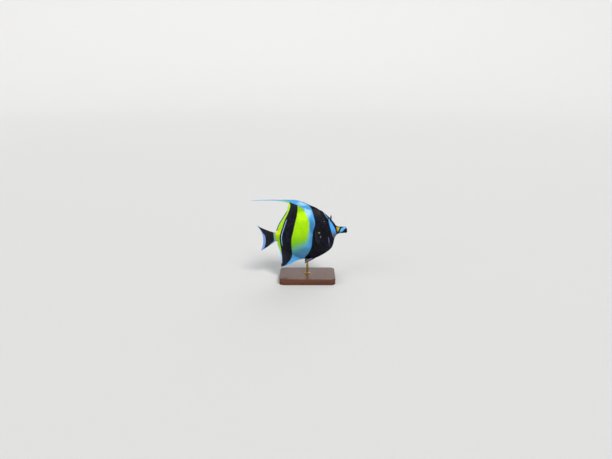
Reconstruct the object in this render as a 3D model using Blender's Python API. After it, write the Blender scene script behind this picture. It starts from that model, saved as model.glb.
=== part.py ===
"""A still, life-size model of a Moorish idol, a deep-bodied reef fish, on a plain display stand.

The fish is built level in a frame of its own: x runs forward from the root of the tail fin to the lips,
y to the fish's left and z up. It is then tipped nose up and held over the stand by one rod.
"""

import math

import bmesh
import bpy
import numpy as np
from mathutils import Euler, Matrix, Vector

MM = 0.001
GAP = 0.3 * MM  # kept between neighbouring pieces
LEFT, RIGHT = 1, -1
SIDES = {"left": LEFT, "right": RIGHT}

# Body stations: each is an upper and a lower point of the outline, a half width, and how lens-shaped it is
# (0.5 is an ellipse). Columns: upper x, upper z, lower x, lower z, half width in mm, then the exponent.
BODY_STATIONS = (
    (0.0, 9.8, 0.0, -9.4, 2.5, 0.60),
    (4.8, 9.8, 3.6, -10.1, 3.8, 0.64),
    (10.0, 13.4, 8.0, -15.8, 5.4, 0.70),
    (20.0, 22.6, 16.0, -26.0, 8.0, 0.74),
    (34.9, 33.4, 27.5, -37.3, 10.6, 0.76),
    (49.8, 43.5, 42.1, -46.9, 12.6, 0.76),
    (64.3, 50.0, 56.5, -50.6, 13.8, 0.75),
    (76.6, 52.0, 69.8, -51.2, 14.2, 0.73),
    (86.0, 50.9, 82.1, -48.7, 14.0, 0.71),
    (93.5, 47.9, 90.5, -45.2, 13.4, 0.69),
    (100.4, 43.0, 98.0, -41.6, 12.5, 0.66),
    (107.5, 35.8, 106.8, -36.2, 11.1, 0.63),
    (113.2, 28.9, 112.9, -29.6, 9.6, 0.60),
    (117.6, 22.9, 116.2, -21.6, 8.3, 0.57),
    (121.0, 17.7, 118.4, -13.6, 7.1, 0.54),
    (124.0, 13.0, 121.3, -8.2, 6.0, 0.52),
    (127.2, 10.9, 125.0, -4.9, 5.1, 0.50),
    (131.5, 10.3, 130.0, -3.7, 4.4, 0.50),
    (136.5, 9.7, 136.0, -3.6, 3.9, 0.50),
    (140.0, 9.2, 139.9, -3.5, 3.6, 0.50),
    (142.2, 9.0, 142.2, -3.8, 3.8, 0.50),
    (144.0, 7.8, 144.4, -3.1, 3.3, 0.50),
    (144.9, 5.2, 145.4, -1.2, 2.1, 0.50),
)
RIDGE = 1.1 * MM  # half width of the back and belly ridges, which the median fins stand on
RIDGE_SHARE = 0.45  # the same, as a share of the half width where the body is thin

# Where the body is parted, as station positions: the mean x of the upper and lower points
TAIL_CUT = 9.0 * MM
GILL_CUT = 92.4 * MM
SNOUT_CUT = 126.1 * MM

# Fin rays run from a root x on the body's outline to a tip x, z. Only guide rays are listed, in mm.
DORSAL_LEADING = (
    (92.0, 91.0, 49.7),
    (89.5, 86.5, 53.2),
    (85.0, 74.8, 59.2),
    (76.5, 61.8, 66.6),
    (66.5, 48.6, 71.9),
    (57.5, 34.5, 73.8),
)
DORSAL_TRAILING = (
    (49.5, 33.7, 66.9),
    (45.5, 31.4, 59.9),
    (39.0, 28.0, 51.6),
    (31.0, 20.8, 41.9),
    (22.5, 13.5, 32.4),
    (14.0, 7.3, 22.8),
    (6.5, 3.2, 12.8),
)
ANAL_LEADING = (
    (52.0, 50.5, -51.2),
    (47.5, 40.8, -52.6),
    (42.5, 31.5, -55.8),
    (37.5, 22.5, -59.9),
    (33.0, 13.5, -62.5),
    (29.5, 5.7, -63.6),
)
ANAL_TRAILING = (
    (26.5, 6.9, -53.0),
    (22.5, 7.7, -41.5),
    (16.5, 6.5, -31.0),
    (11.0, 4.2, -21.5),
    (5.5, 2.4, -13.6),
)
DORSAL_RAYS, ANAL_RAYS, TAIL_RAYS, PECTORAL_RAYS, PELVIC_RAYS = 30, 21, 16, 9, 5
DORSAL_ROWS, ANAL_ROWS, TAIL_ROWS, PAIRED_ROWS = 8, 7, 8, 7
# How far the rays bend, as a share of their length. The tail's are the upper lobe's and the lower lobe's
DORSAL_BOW, ANAL_BOW, TAIL_BOWS = 0.07, 0.06, (0.05, -0.03)

# Half thickness of a ray at its root and its tip, and of the membrane between two rays
MEDIAN_THICK = (1.0 * MM, 0.42 * MM)
TAIL_THICK = (1.35 * MM, 0.42 * MM)
PAIRED_THICK = (0.75 * MM, 0.34 * MM)
MEMBRANE = 0.62  # as a share of the rays', away from the root
THINNEST = 0.26 * MM
MEDIAN_GAP, PAIRED_GAP = 1.35 * GAP, 1.2 * GAP  # a fin's root keeps this much, as the body slopes under it

# The trailing filament of the back fin: upper x, upper z, lower x, lower z, half width in mm, exponent
FILAMENT_STATIONS = (
    (34.2, 73.7, 33.4, 67.1, 0.62, 0.5),
    (30.4, 74.1, 29.8, 68.3, 0.62, 0.5),
    (26.0, 74.5, 25.5, 69.8, 0.60, 0.5),
    (21.0, 74.9, 20.7, 71.4, 0.58, 0.5),
    (16.0, 75.3, 15.9, 72.8, 0.56, 0.5),
    (3.0, 76.7, 3.0, 74.8, 0.52, 0.5),
    (-13.6, 77.7, -13.6, 76.3, 0.46, 0.5),
    (-30.0, 78.3, -30.0, 77.3, 0.38, 0.5),
    (-42.0, 78.4, -42.0, 77.8, 0.26, 0.5),
)

# Tail fin
TAIL_ROOT = 9.0 * MM  # half height at the root
TAIL_MIDDLE = 24.3 * MM  # length of the middle rays
TAIL_UPPER_LOBE = (35.5, 27.6)  # how far the upper lobe's tip lies behind and above the root, in mm
TAIL_LOWER_LOBE = (32.0, 26.4)
TAIL_FORK = 2.1  # how late the hind edge sweeps back into the lobes

# Paired fins
PECTORAL_ROOT = ((88.8, 2.0), (89.8, -7.6))  # x, z of the upper and lower end of the root, in mm
PECTORAL_LENGTH = 25 * MM
PECTORAL_SWING = math.radians(27)  # swept back from straight out
PECTORAL_FAN = (math.radians(34), math.radians(-40))  # rise of the first and the last ray
PECTORAL_CUP = 1.2 * MM
PELVIC_ROOT = ((80.0, -48.2), (73.0, -46.2))  # x, z of the front and back end of the root, in mm
PELVIC_TIPS = ((54.0, 7.2, -58.0), (57.0, 9.6, -49.0))  # x, y, z of the first and last ray's tip, in mm
PELVIC_SAG = Vector((0, 0.6, -0.8)) * MM  # how far the middle of a ray hangs out and down
PELVIC_FOOT = 0.014  # half the root's breadth on the flank, where belly ridge to back ridge is 2

# Head
EYE = (101.4, 23.3)
EYE_RADIUS, EYE_DEPTH = 5.3 * MM, 3.3 * MM
EYE_SUNK = 1.5 * MM  # how far the eye's centre lies under the skin
HORN_ROOT = (113.2, 26.3)
HORN_LENGTH, HORN_RADIUS, HORN_TIP = 8.8 * MM, 2.1 * MM, 0.95 * MM
HORN_SUNK = 1.4 * MM
HORN_CURVE = 0.9 * MM
HORN_LEAN = Vector((0.42, 0.22, 0.88))
NOSTRILS = ((109.6, 21.4), (111.4, 19.6))
NOSTRIL_RADIUS = 0.65 * MM
MOUTH_CORNER = (139.6, 1.4)
MOUTH_GAPE = math.radians(13)
MOUTH_REACH, MOUTH_HALF_WIDTH, MOUTH_THIN = 10 * MM, 8 * MM, 0.16 * MM  # the wedge that cuts it
GILL_COVER_HEIGHTS = (-0.64, 0.32)  # between belly ridge, -1, and back ridge, 1
GILL_COVER_FRONT, GILL_COVER_REAR = 105.4 * MM, 91.4 * MM
GILL_COVER_ROUNDS = (7.0 * MM, 5.4 * MM)  # how far its front and hind edges draw in at its ends
GILL_COVER_DEPTH, GILL_COVER_LIFT = 1.5 * MM, 0.7 * MM
GILL_COVER_SPAN = 45 * MM  # one unit of height on the side of the head

# Pose and stand
PITCH = math.radians(5)  # nose up
BASE_SIZE = Vector((112, 78, 12)) * MM
BASE_CORNER, BASE_EDGE = 10 * MM, 1.5 * MM
CLEARANCE = 14 * MM  # between the lowest fin tip and the base
ROD_RADIUS = 2.2 * MM
ROD_X = 60.5 * MM  # where the rod meets the belly, in the fish's frame
ROD_SUNK = 11 * MM

BLACK = ((0.012, 0.013, 0.020, 1), 0.38)
YELLOW = ((0.42, 0.80, 0.004, 1), 0.40)
PALE = ((0.16, 0.42, 0.86, 1), 0.40)
DUSKY = ((0.10, 0.09, 0.09, 1), 0.40)
HORN = ((0.02, 0.03, 0.05, 1), 0.35)
EYE_DARK = ((0.01, 0.008, 0.006, 1), 0.08)
WOOD = ((0.10, 0.045, 0.022, 1), 0.45)
BRASS = ((0.60, 0.45, 0.20, 1), 0.30)


def smooth(knots, values, at):
    """A cubic curve through the rows of values, with slopes taken from the neighbouring rows."""
    at = min(max(at, knots[0]), knots[-1])
    slopes = np.gradient(values, knots, axis=0)
    i = int(np.clip(np.searchsorted(knots, at, side="right") - 1, 0, len(knots) - 2))
    span = knots[i + 1] - knots[i]
    t = (at - knots[i]) / span
    start = (1 + 2 * t) * (1 - t) ** 2 * values[i] + t * (1 - t) ** 2 * span * slopes[i]
    end = t * t * (3 - 2 * t) * values[i + 1] + t * t * (t - 1) * span * slopes[i + 1]
    return start + end


class Loft:
    """A flat-sided skin through stations. A place on it is a position along it and a height from -1 to 1."""

    def __init__(self, stations):
        rows = np.array(stations) * ([MM] * 5 + [1])
        order = np.argsort(rows[:, 0] + rows[:, 2])
        self.rows = rows[order]
        self.knots = (self.rows[:, 0] + self.rows[:, 2]) / 2

    def upper(self, at):
        x, z = smooth(self.knots, self.rows, at)[:2]
        return Vector((x, 0, z))

    def lower(self, at):
        x, z = smooth(self.knots, self.rows, at)[2:4]
        return Vector((x, 0, z))

    def point(self, at, height, side, lift=0.0):
        """The skin's point, moved out along its normal by lift."""
        upper_x, upper_z, lower_x, lower_z, wide, power = smooth(self.knots, self.rows, at)
        share = (1 + height) / 2
        edge = min(RIDGE, RIDGE_SHARE * wide)
        half = edge + (wide - edge) * max(1 - height * height, 0) ** power
        x = lower_x + (upper_x - lower_x) * share
        z = lower_z + (upper_z - lower_z) * share
        place = Vector((x, side * half, z))
        return place + self.normal(at, height, side) * lift if lift else place

    def normal(self, at, height, side):
        step, rise = 0.5 * MM, 0.02
        above, below = min(height + rise, 0.999), max(height - rise, -0.999)
        along = self.point(at + step, height, side) - self.point(at - step, height, side)
        up = self.point(at, above, side) - self.point(at, below, side)
        return (up.cross(along) * side).normalized()

    def locate(self, x, z):
        """The position and height of the place that the side view shows at x, z."""
        low, high = self.knots[0], self.knots[-1]
        for _ in range(40):
            middle = (low + high) / 2
            upper, lower = self.upper(middle), self.lower(middle)
            ahead = (x - lower.x) * (upper.z - lower.z) - (z - lower.z) * (upper.x - lower.x)
            low, high = (middle, high) if ahead > 0 else (low, middle)
        rise = self.upper(low) - self.lower(low)
        share = (Vector((x, 0, z)) - self.lower(low)).dot(rise) / rise.length_squared
        return low, 2 * share - 1

    def faces(self, start, end, lengths, heights):
        """The left and right grids of points between two positions."""
        grid = {LEFT: [], RIGHT: []}
        for at in np.linspace(start, end, lengths + 1):
            for side, rows in grid.items():
                ring = [-math.cos(math.pi * k / heights) for k in range(heights + 1)]
                rows.append([self.point(at, height, side) for height in ring])
        return grid[LEFT], grid[RIGHT]


def material(name, look, metallic=0.0):
    colour, roughness = look
    made = bpy.data.materials.get(name) or bpy.data.materials.new(name)
    made.use_nodes = True
    shader = made.node_tree.nodes["Principled BSDF"]
    shader.inputs["Base Color"].default_value = colour
    shader.inputs["Roughness"].default_value = roughness
    shader.inputs["Metallic"].default_value = metallic
    made.diffuse_color = colour
    return made


def finish_object(obj, parent, look, collection, metallic=0.0):
    """Names an object's material, hangs it on its parent and files it in its collection."""
    obj.data.materials.clear()
    obj.data.materials.append(material(obj.name + "_finish", look, metallic))
    for holder in list(obj.users_collection):
        holder.objects.unlink(obj)
    collection.objects.link(obj)
    obj.parent = parent
    return obj


def two_faced(name, front, back):
    """One closed body between two matching grids of points, split into triangles alike on both."""
    shape = bmesh.new()
    faces = [[[shape.verts.new(point) for point in row] for row in grid] for grid in (front, back)]
    rows, columns = len(front), len(front[0])
    for grid in faces:
        for i in range(rows - 1):
            for j in range(columns - 1):
                a, b, c, d = grid[i][j], grid[i + 1][j], grid[i + 1][j + 1], grid[i][j + 1]
                shape.faces.new((a, b, c))
                shape.faces.new((a, c, d))
    border = [(0, j) for j in range(columns)] + [(i, columns - 1) for i in range(1, rows)]
    border += [(rows - 1, j) for j in range(columns - 2, -1, -1)] + [(i, 0) for i in range(rows - 2, 0, -1)]
    for (i, j), (k, m) in zip(border, border[1:] + border[:1]):
        shape.faces.new((faces[0][i][j], faces[0][k][m], faces[1][k][m]))
        shape.faces.new((faces[0][i][j], faces[1][k][m], faces[1][i][j]))
    bmesh.ops.recalc_face_normals(shape, faces=shape.faces[:])
    mesh = bpy.data.meshes.new(name)
    shape.to_mesh(mesh)
    shape.free()
    mesh.shade_smooth()
    mesh.set_sharp_from_angle(angle=math.radians(50))
    return bpy.data.objects.new(name, mesh)


def bowed(root, tip, bow, share):
    """A point on a gently bent ray; bow is how far its middle is pulled aside."""
    control = (root + tip) / 2 + bow * 2
    return root * (1 - share) ** 2 + control * (2 * share * (1 - share)) + tip * share * share


def ray_thickness(column, share, thick):
    """Half thickness of a fin: thick at even columns, its rays, and thin between them."""
    root_half, edge_half = thick
    half = root_half + (edge_half - root_half) * math.sqrt(share)
    membrane = MEMBRANE + (1 - MEMBRANE) * (1 - share) / 2
    return max(half * (1 if column % 2 == 0 else membrane), THINNEST)


def median_fin(name, outline, guides, rays, rows, bow):
    """A fin in the middle plane, standing on the body's upper or lower outline."""
    leading, trailing = (np.array(table) * MM for table in guides)
    first, last = leading[0][0], trailing[-1][0]
    front, back = [], []
    for column in range(2 * rays + 1):
        root_x = first + (last - first) * column / (2 * rays)
        if root_x >= leading[-1][0]:
            tip = smooth(-leading[:, 0], leading[:, 1:], -root_x)
        elif root_x <= trailing[0][0]:
            tip = smooth(-trailing[:, 0], trailing[:, 1:], -root_x)
        else:
            share = (leading[-1][0] - root_x) / (leading[-1][0] - trailing[0][0])
            tip = leading[-1][1:] * (1 - share) + trailing[0][1:] * share
        root = outline(root_x)
        tip = Vector((tip[0], 0, tip[1]))
        chord = tip - root
        aside = Vector((abs(chord.z), 0, -chord.x * math.copysign(1, chord.z))) * bow
        for side, grid in ((LEFT, front), (RIGHT, back)):
            grid.append([])
            for i in range(rows + 1):
                share = i / rows
                point = bowed(root, tip, aside, share)
                point.y = side * ray_thickness(column, share, MEDIAN_THICK)
                grid[-1].append(point)
    return two_faced(name, front, back)


def outline_with_gap(body, edge, outward):
    """The place just off the body's outline at a given x, where a median fin starts."""

    def place(x):
        column = 0 if outward > 0 else 2
        at = float(np.interp(x, body.rows[:, column], body.knots))
        for _ in range(6):
            at += x - edge(at).x
        return edge(at) + Vector((0, 0, outward * MEDIAN_GAP))

    return place


def tail_fin(name):
    front, back = [], []
    for column in range(2 * TAIL_RAYS + 1):
        height = 1 - column / TAIL_RAYS
        back_by, rise = TAIL_UPPER_LOBE if height > 0 else TAIL_LOWER_LOBE
        root = Vector((-GAP, 0, TAIL_ROOT * height))
        length = TAIL_MIDDLE + (back_by * MM - TAIL_MIDDLE) * abs(height) ** TAIL_FORK
        tip = Vector((-length, 0, rise * MM * height))
        aside = Vector((0, 0, -TAIL_BOWS[0 if height > 0 else 1] * tip.z))
        for side, grid in ((LEFT, front), (RIGHT, back)):
            grid.append([])
            for i in range(TAIL_ROWS + 1):
                share = i / TAIL_ROWS
                point = bowed(root, tip, aside, share)
                point.y = side * ray_thickness(column, share, TAIL_THICK)
                grid[-1].append(point)
    return two_faced(name, front, back)


def pectoral_fin(name, body, side):
    """A fan set on the flank behind the gill cover, held out from the body."""
    axis = Vector((-math.sin(PECTORAL_SWING), side * math.cos(PECTORAL_SWING), 0))
    up = Vector((0, 0, 1))
    across = axis.cross(up).normalized()
    columns = 2 * PECTORAL_RAYS
    front, back = [], []
    upper, lower = (Vector((x, 0, z)) * MM for x, z in PECTORAL_ROOT)
    for column in range(columns + 1):
        u = column / columns
        spot = upper.lerp(lower, u)
        at, height = body.locate(spot.x, spot.z)
        turn = PECTORAL_FAN[0] + (PECTORAL_FAN[1] - PECTORAL_FAN[0]) * u
        length = PECTORAL_LENGTH * (1 - 0.42 * u ** 1.6) * (0.90 + 0.10 * math.sin(math.pi * u))
        root = body.point(at, height, side, GAP)
        tip = root + (axis * math.cos(turn) + up * math.sin(turn)) * length
        for sense, grid in ((1, front), (-1, back)):
            grid.append([body.point(at + sense * side * PAIRED_THICK[0], height, side, PAIRED_GAP)])
            for i in range(1, PAIRED_ROWS + 1):
                share = i / PAIRED_ROWS
                half = ray_thickness(column, share, PAIRED_THICK)
                cup = side * PECTORAL_CUP * math.sin(math.pi * share / 2)
                grid[-1].append(root.lerp(tip, share) + across * (cup + sense * half))
    return two_faced(name, front, back)


def pelvic_fin(name, body, side):
    """A narrow pointed fin under the breast, trailing back beside the belly ridge."""
    columns = 2 * PELVIC_RAYS
    first, last = (Vector((x, 0, z)) * MM for x, z in PELVIC_ROOT)
    tips = [Vector((x, side * y, z)) * MM for x, y, z in PELVIC_TIPS]
    aside = Vector((PELVIC_SAG.x, side * PELVIC_SAG.y, PELVIC_SAG.z))
    across = Vector((0, side, 0))
    front, back = [], []
    for column in range(columns + 1):
        u = column / columns
        spot = first.lerp(last, u)
        at, height = body.locate(spot.x, spot.z)
        root = body.point(at, height, side, GAP)
        tip = tips[0].lerp(tips[1], u)
        for sense, grid in ((1, front), (-1, back)):
            grid.append([body.point(at, height + sense * PELVIC_FOOT, side, PAIRED_GAP)])
            for i in range(1, PAIRED_ROWS + 1):
                share = i / PAIRED_ROWS
                half = ray_thickness(column, share, PAIRED_THICK)
                grid[-1].append(bowed(root, tip, aside, share) + across * (sense * half))
    return two_faced(name, front, back)


def gill_cover(name, body, side, grow=0.0):
    """A plate let into the side of the head, its hind edge a little proud. Grown, it cuts its own recess."""
    rows, columns = 12, 7
    low, high = GILL_COVER_HEIGHTS
    inner, outer = [], []
    for i in range(rows + 1):
        ends = 2 * i / rows - 1
        height = (low + high) / 2 + ends * ((high - low) / 2 + grow / GILL_COVER_SPAN)
        ahead, rear = (rounding * abs(ends) ** 3 for rounding in GILL_COVER_ROUNDS)
        front_edge = GILL_COVER_FRONT - ahead + grow
        hind_edge = GILL_COVER_REAR + rear - grow
        inner.append([])
        outer.append([])
        for j in range(columns + 1):
            share = j / columns
            at = front_edge + (hind_edge - front_edge) * share
            lift = GILL_COVER_LIFT * share ** 3 * (1 - ends ** 4) + (GILL_COVER_DEPTH if grow else 0)
            outer[-1].append(body.point(at, height, side, lift))
            inner[-1].append(body.point(at, height, side, -GILL_COVER_DEPTH - grow))
    return two_faced(name, outer, inner)


def turned_to(direction):
    """Turns the z axis to a direction and lets the x axis point as far forward as it can."""
    forward = (Vector((1, 0, 0)) - direction * direction.x).normalized()
    return Matrix((forward, direction.cross(forward), direction)).transposed().to_4x4()


def primitive(name, operator, place, **sizes):
    """A closed primitive, moved in its mesh so that its object stays at the frame's origin."""
    operator(**sizes)
    obj = bpy.context.active_object
    obj.name = name
    obj.data.name = name
    obj.data.transform(place)
    obj.matrix_world = Matrix.Identity(4)
    obj.data.shade_smooth()
    obj.data.set_sharp_from_angle(angle=math.radians(40))
    return obj


def eye_ball(name, body, side, grow=0.0):
    at, height = body.locate(EYE[0] * MM, EYE[1] * MM)
    outward = body.normal(at, height, side)
    place = Matrix.Translation(body.point(at, height, side, -EYE_SUNK)) @ turned_to(outward)
    size = Matrix.Diagonal((EYE_RADIUS + grow, EYE_RADIUS + grow, EYE_DEPTH + grow, 1))
    add_sphere = bpy.ops.mesh.primitive_uv_sphere_add
    return primitive(name, add_sphere, place @ size, segments=24, ring_count=12, radius=1)


def horn(name, body, side, grow=0.0):
    """A blunt little spike before and above the eye, curving up from a shallow seat."""
    at, height = body.locate(HORN_ROOT[0] * MM, HORN_ROOT[1] * MM)
    lean = Vector((HORN_LEAN.x, side * HORN_LEAN.y, HORN_LEAN.z)).normalized()
    place = Matrix.Translation(body.point(at, height, side) - lean * (HORN_SUNK + grow)) @ turned_to(lean)
    radii = {"radius1": HORN_RADIUS + grow, "radius2": HORN_TIP + grow}
    shape = bmesh.new()
    bmesh.ops.create_cone(shape, cap_ends=True, segments=12, depth=HORN_LENGTH, **radii)
    bmesh.ops.translate(shape, verts=shape.verts, vec=(0, 0, HORN_LENGTH / 2))
    sides = [e for e in shape.edges if abs(e.verts[0].co.z - e.verts[1].co.z) > HORN_LENGTH / 2]
    bmesh.ops.subdivide_edges(shape, edges=sides, cuts=3)
    for vert in shape.verts:
        vert.co.x -= HORN_CURVE * (vert.co.z / HORN_LENGTH) ** 2
    shape.transform(place)
    mesh = bpy.data.meshes.new(name)
    shape.to_mesh(mesh)
    shape.free()
    mesh.shade_smooth()
    mesh.set_sharp_from_angle(angle=math.radians(50))
    return bpy.data.objects.new(name, mesh)


def nostril(name, body, side, x, z):
    at, height = body.locate(x * MM, z * MM)
    place = Matrix.Translation(body.point(at, height, side))
    add_sphere = bpy.ops.mesh.primitive_uv_sphere_add
    return primitive(name, add_sphere, place, segments=10, ring_count=6, radius=NOSTRIL_RADIUS)


def mouth_wedge(name):
    """A wedge that opens forward from the corner of the mouth."""
    x, z = (value * MM for value in MOUTH_CORNER)
    rise = MOUTH_REACH * math.tan(MOUTH_GAPE / 2)
    front, back = [], []
    for side, grid in ((LEFT, front), (RIGHT, back)):
        for step, half in ((0, MOUTH_THIN), (MOUTH_REACH, rise)):
            grid.append([Vector((x + step, side * MOUTH_HALF_WIDTH, z + sense * half)) for sense in (-1, 1)])
    return two_faced(name, front, back)


def cut(obj, cutter):
    modifier = obj.modifiers.new(cutter.name, "BOOLEAN")
    modifier.operation = "DIFFERENCE"
    modifier.solver = "EXACT"
    modifier.object = cutter


def stand_base(name, top_centre):
    place = Matrix.Translation(top_centre - Vector((0, 0, BASE_SIZE.z / 2)))
    size = Matrix.Diagonal((*BASE_SIZE, 1))
    base = primitive(name, bpy.ops.mesh.primitive_cube_add, place @ size, size=1)
    shape = bmesh.new()
    shape.from_mesh(base.data)
    upright = [e for e in shape.edges if abs(e.verts[0].co.z - e.verts[1].co.z) > BASE_SIZE.z / 2]
    rounded = {"profile": 0.5, "affect": "EDGES", "clamp_overlap": True}
    bmesh.ops.bevel(shape, geom=upright, offset=BASE_CORNER, segments=8, **rounded)
    rim = [e for e in shape.edges if min(v.co.z for v in e.verts) > top_centre.z - MM * 0.1]
    bmesh.ops.bevel(shape, geom=rim, offset=BASE_EDGE, segments=3, **rounded)
    shape.to_mesh(base.data)
    shape.free()
    base.data.shade_smooth()
    base.data.set_sharp_from_angle(angle=math.radians(40))
    return base


def upright_cylinder(name, radius, foot, top, x):
    place = Matrix.Translation((x, 0, (foot + top) / 2))
    add_cylinder = bpy.ops.mesh.primitive_cylinder_add
    return primitive(name, add_cylinder, place, vertices=32, radius=radius, depth=top - foot)


def lowest_and_ends(objects, parent_matrix):
    """The lowest z and the least and greatest x of some meshes under a parent."""
    points = [parent_matrix @ vert.co for obj in objects for vert in obj.data.vertices]
    xs = [point.x for point in points]
    return min(point.z for point in points), min(xs), max(xs)


def flesh(body):
    """The parted lengths of the body, each with its look."""
    half_gap = GAP / 2
    lengths = {
        "tail_base": (body.knots[0], TAIL_CUT - half_gap, 4, 10, YELLOW),
        "torso": (TAIL_CUT + half_gap, GILL_CUT - half_gap, 20, 14, YELLOW),
        "head": (GILL_CUT + half_gap, SNOUT_CUT - half_gap, 16, 16, BLACK),
        "snout": (SNOUT_CUT + half_gap, body.knots[-1], 14, 12, PALE),
    }
    return {
        name: (two_faced(name, *body.faces(start, end, steps, heights)), look)
        for name, (start, end, steps, heights, look) in lengths.items()
    }


def median_fins(back_line, belly_line):
    filament = Loft(FILAMENT_STATIONS)
    grids = filament.faces(filament.knots[0], filament.knots[-1], 24, 4)
    dorsal = ((DORSAL_LEADING, DORSAL_TRAILING), DORSAL_RAYS, DORSAL_ROWS, DORSAL_BOW)
    anal = ((ANAL_LEADING, ANAL_TRAILING), ANAL_RAYS, ANAL_ROWS, ANAL_BOW)
    return {
        "dorsal_fin": (median_fin("dorsal_fin", back_line, *dorsal), BLACK),
        "anal_fin": (median_fin("anal_fin", belly_line, *anal), BLACK),
        "dorsal_filament": (two_faced("dorsal_filament", *grids), PALE),
        "caudal_fin": (tail_fin("caudal_fin"), BLACK),
    }


def paired_pieces(body, word, side):
    makers = {
        "pectoral_fin_": (pectoral_fin, DUSKY),
        "pelvic_fin_": (pelvic_fin, BLACK),
        "gill_cover_": (gill_cover, BLACK),
        "eye_": (eye_ball, EYE_DARK),
        "horn_": (horn, HORN),
    }
    return {start + word: (maker(start + word, body, side), look) for start, (maker, look) in makers.items()}


def hollows_of(body):
    """The cutters of each piece of flesh: gill recesses, eye and horn sockets, nostrils and the mouth."""
    cutters = {"head": [], "torso": [], "snout": [mouth_wedge("cut_mouth")]}
    for word, side in SIDES.items():
        recess = gill_cover("cut_gill_" + word, body, side, GAP)
        sockets = [eye_ball("cut_eye_" + word, body, side, GAP), horn("cut_horn_" + word, body, side, GAP)]
        pits = [nostril(f"cut_nostril_{word}_{n}", body, side, *place) for n, place in enumerate(NOSTRILS)]
        cutters["torso"].append(recess)
        cutters["head"] += [recess, *sockets, *pits]
    return cutters


def held_up(made):
    """An empty that carries the fish, tipped nose up and raised until its lowest fin tip clears the base."""
    tipped = Euler((0, -PITCH, 0)).to_matrix().to_4x4()
    lowest, rearmost, foremost = lowest_and_ends([obj for obj, _ in made.values()], tipped)
    fish = bpy.data.objects.new("fish", None)
    height = BASE_SIZE.z + CLEARANCE - lowest
    fish.matrix_world = Matrix.Translation((-(rearmost + foremost) / 2, 0, height)) @ tipped
    return fish


def main():
    for obj in list(bpy.data.objects):
        bpy.data.objects.remove(obj, do_unlink=True)
    parts = bpy.data.collections.new("moorish_idol")
    cutters = bpy.data.collections.new("cutters")
    for collection in (parts, cutters):
        bpy.context.scene.collection.children.link(collection)

    body = Loft(BODY_STATIONS)
    back_line = outline_with_gap(body, body.upper, 1)
    belly_line = outline_with_gap(body, body.lower, -1)
    made = {**flesh(body), **median_fins(back_line, belly_line)}
    for word, side in SIDES.items():
        made.update(paired_pieces(body, word, side))
    fish = held_up(made)
    parts.objects.link(fish)

    belly = fish.matrix_world @ belly_line(ROD_X)
    rod_foot, rod_top = BASE_SIZE.z / 2, belly.z + ROD_SUNK
    rod = upright_cylinder("stand_rod", ROD_RADIUS, rod_foot + GAP, rod_top, belly.x)
    base = stand_base("stand_base", Vector((belly.x, 0, BASE_SIZE.z)))
    socket = upright_cylinder("cut_rod", ROD_RADIUS + GAP, belly.z - ROD_SUNK, rod_top + GAP, belly.x)
    seat = upright_cylinder("cut_base", ROD_RADIUS + GAP, rod_foot, 2 * BASE_SIZE.z, belly.x)

    for name, (obj, look) in made.items():
        finish_object(obj, fish, look, parts)
    finish_object(rod, None, BRASS, parts, metallic=1.0)
    finish_object(base, None, WOOD, parts)
    cut(made["torso"][0], socket)
    cut(base, seat)
    for name, tools in hollows_of(body).items():
        for tool in tools:
            cut(made[name][0], tool)
            finish_object(tool, fish, DUSKY, cutters)
    for tool in (socket, seat):
        finish_object(tool, None, DUSKY, cutters)
    for tool in cutters.objects:
        tool.hide_render = True
        tool.display_type = "WIRE"


main()
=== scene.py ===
"""The looks of a life-size Moorish idol on a display stand: skin, scales, fins, eyes, horns and stand.

Shapes are worked out in the fish's own frame, in millimetres: x runs forward from the root of the tail fin,
y to the fish's left and z up. world() then tips them nose up and sets them where the solids are.
"""

import math

import bpy
import numpy as np
from mathutils import Matrix, Vector

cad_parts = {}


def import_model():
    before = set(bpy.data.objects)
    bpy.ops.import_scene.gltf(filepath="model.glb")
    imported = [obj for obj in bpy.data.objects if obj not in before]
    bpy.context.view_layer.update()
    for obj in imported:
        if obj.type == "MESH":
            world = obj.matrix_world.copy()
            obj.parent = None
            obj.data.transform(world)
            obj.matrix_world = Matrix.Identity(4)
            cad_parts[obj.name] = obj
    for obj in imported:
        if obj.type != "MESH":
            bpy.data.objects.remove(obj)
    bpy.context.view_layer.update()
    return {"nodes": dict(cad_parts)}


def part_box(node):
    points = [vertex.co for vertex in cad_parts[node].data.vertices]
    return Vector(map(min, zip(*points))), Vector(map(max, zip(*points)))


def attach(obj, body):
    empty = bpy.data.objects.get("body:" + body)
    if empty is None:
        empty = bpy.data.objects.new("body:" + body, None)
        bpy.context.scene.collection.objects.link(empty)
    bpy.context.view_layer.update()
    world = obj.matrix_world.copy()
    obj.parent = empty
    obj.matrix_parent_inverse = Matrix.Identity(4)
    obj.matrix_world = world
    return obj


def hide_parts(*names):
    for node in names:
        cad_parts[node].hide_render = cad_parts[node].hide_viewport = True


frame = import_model()

MM = 0.001
LEFT, RIGHT = 1, -1
SIDES = {"left": LEFT, "right": RIGHT}
PITCH = math.radians(5)
TURN = np.array(Matrix.Rotation(-PITCH, 3, "Y"))

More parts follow.
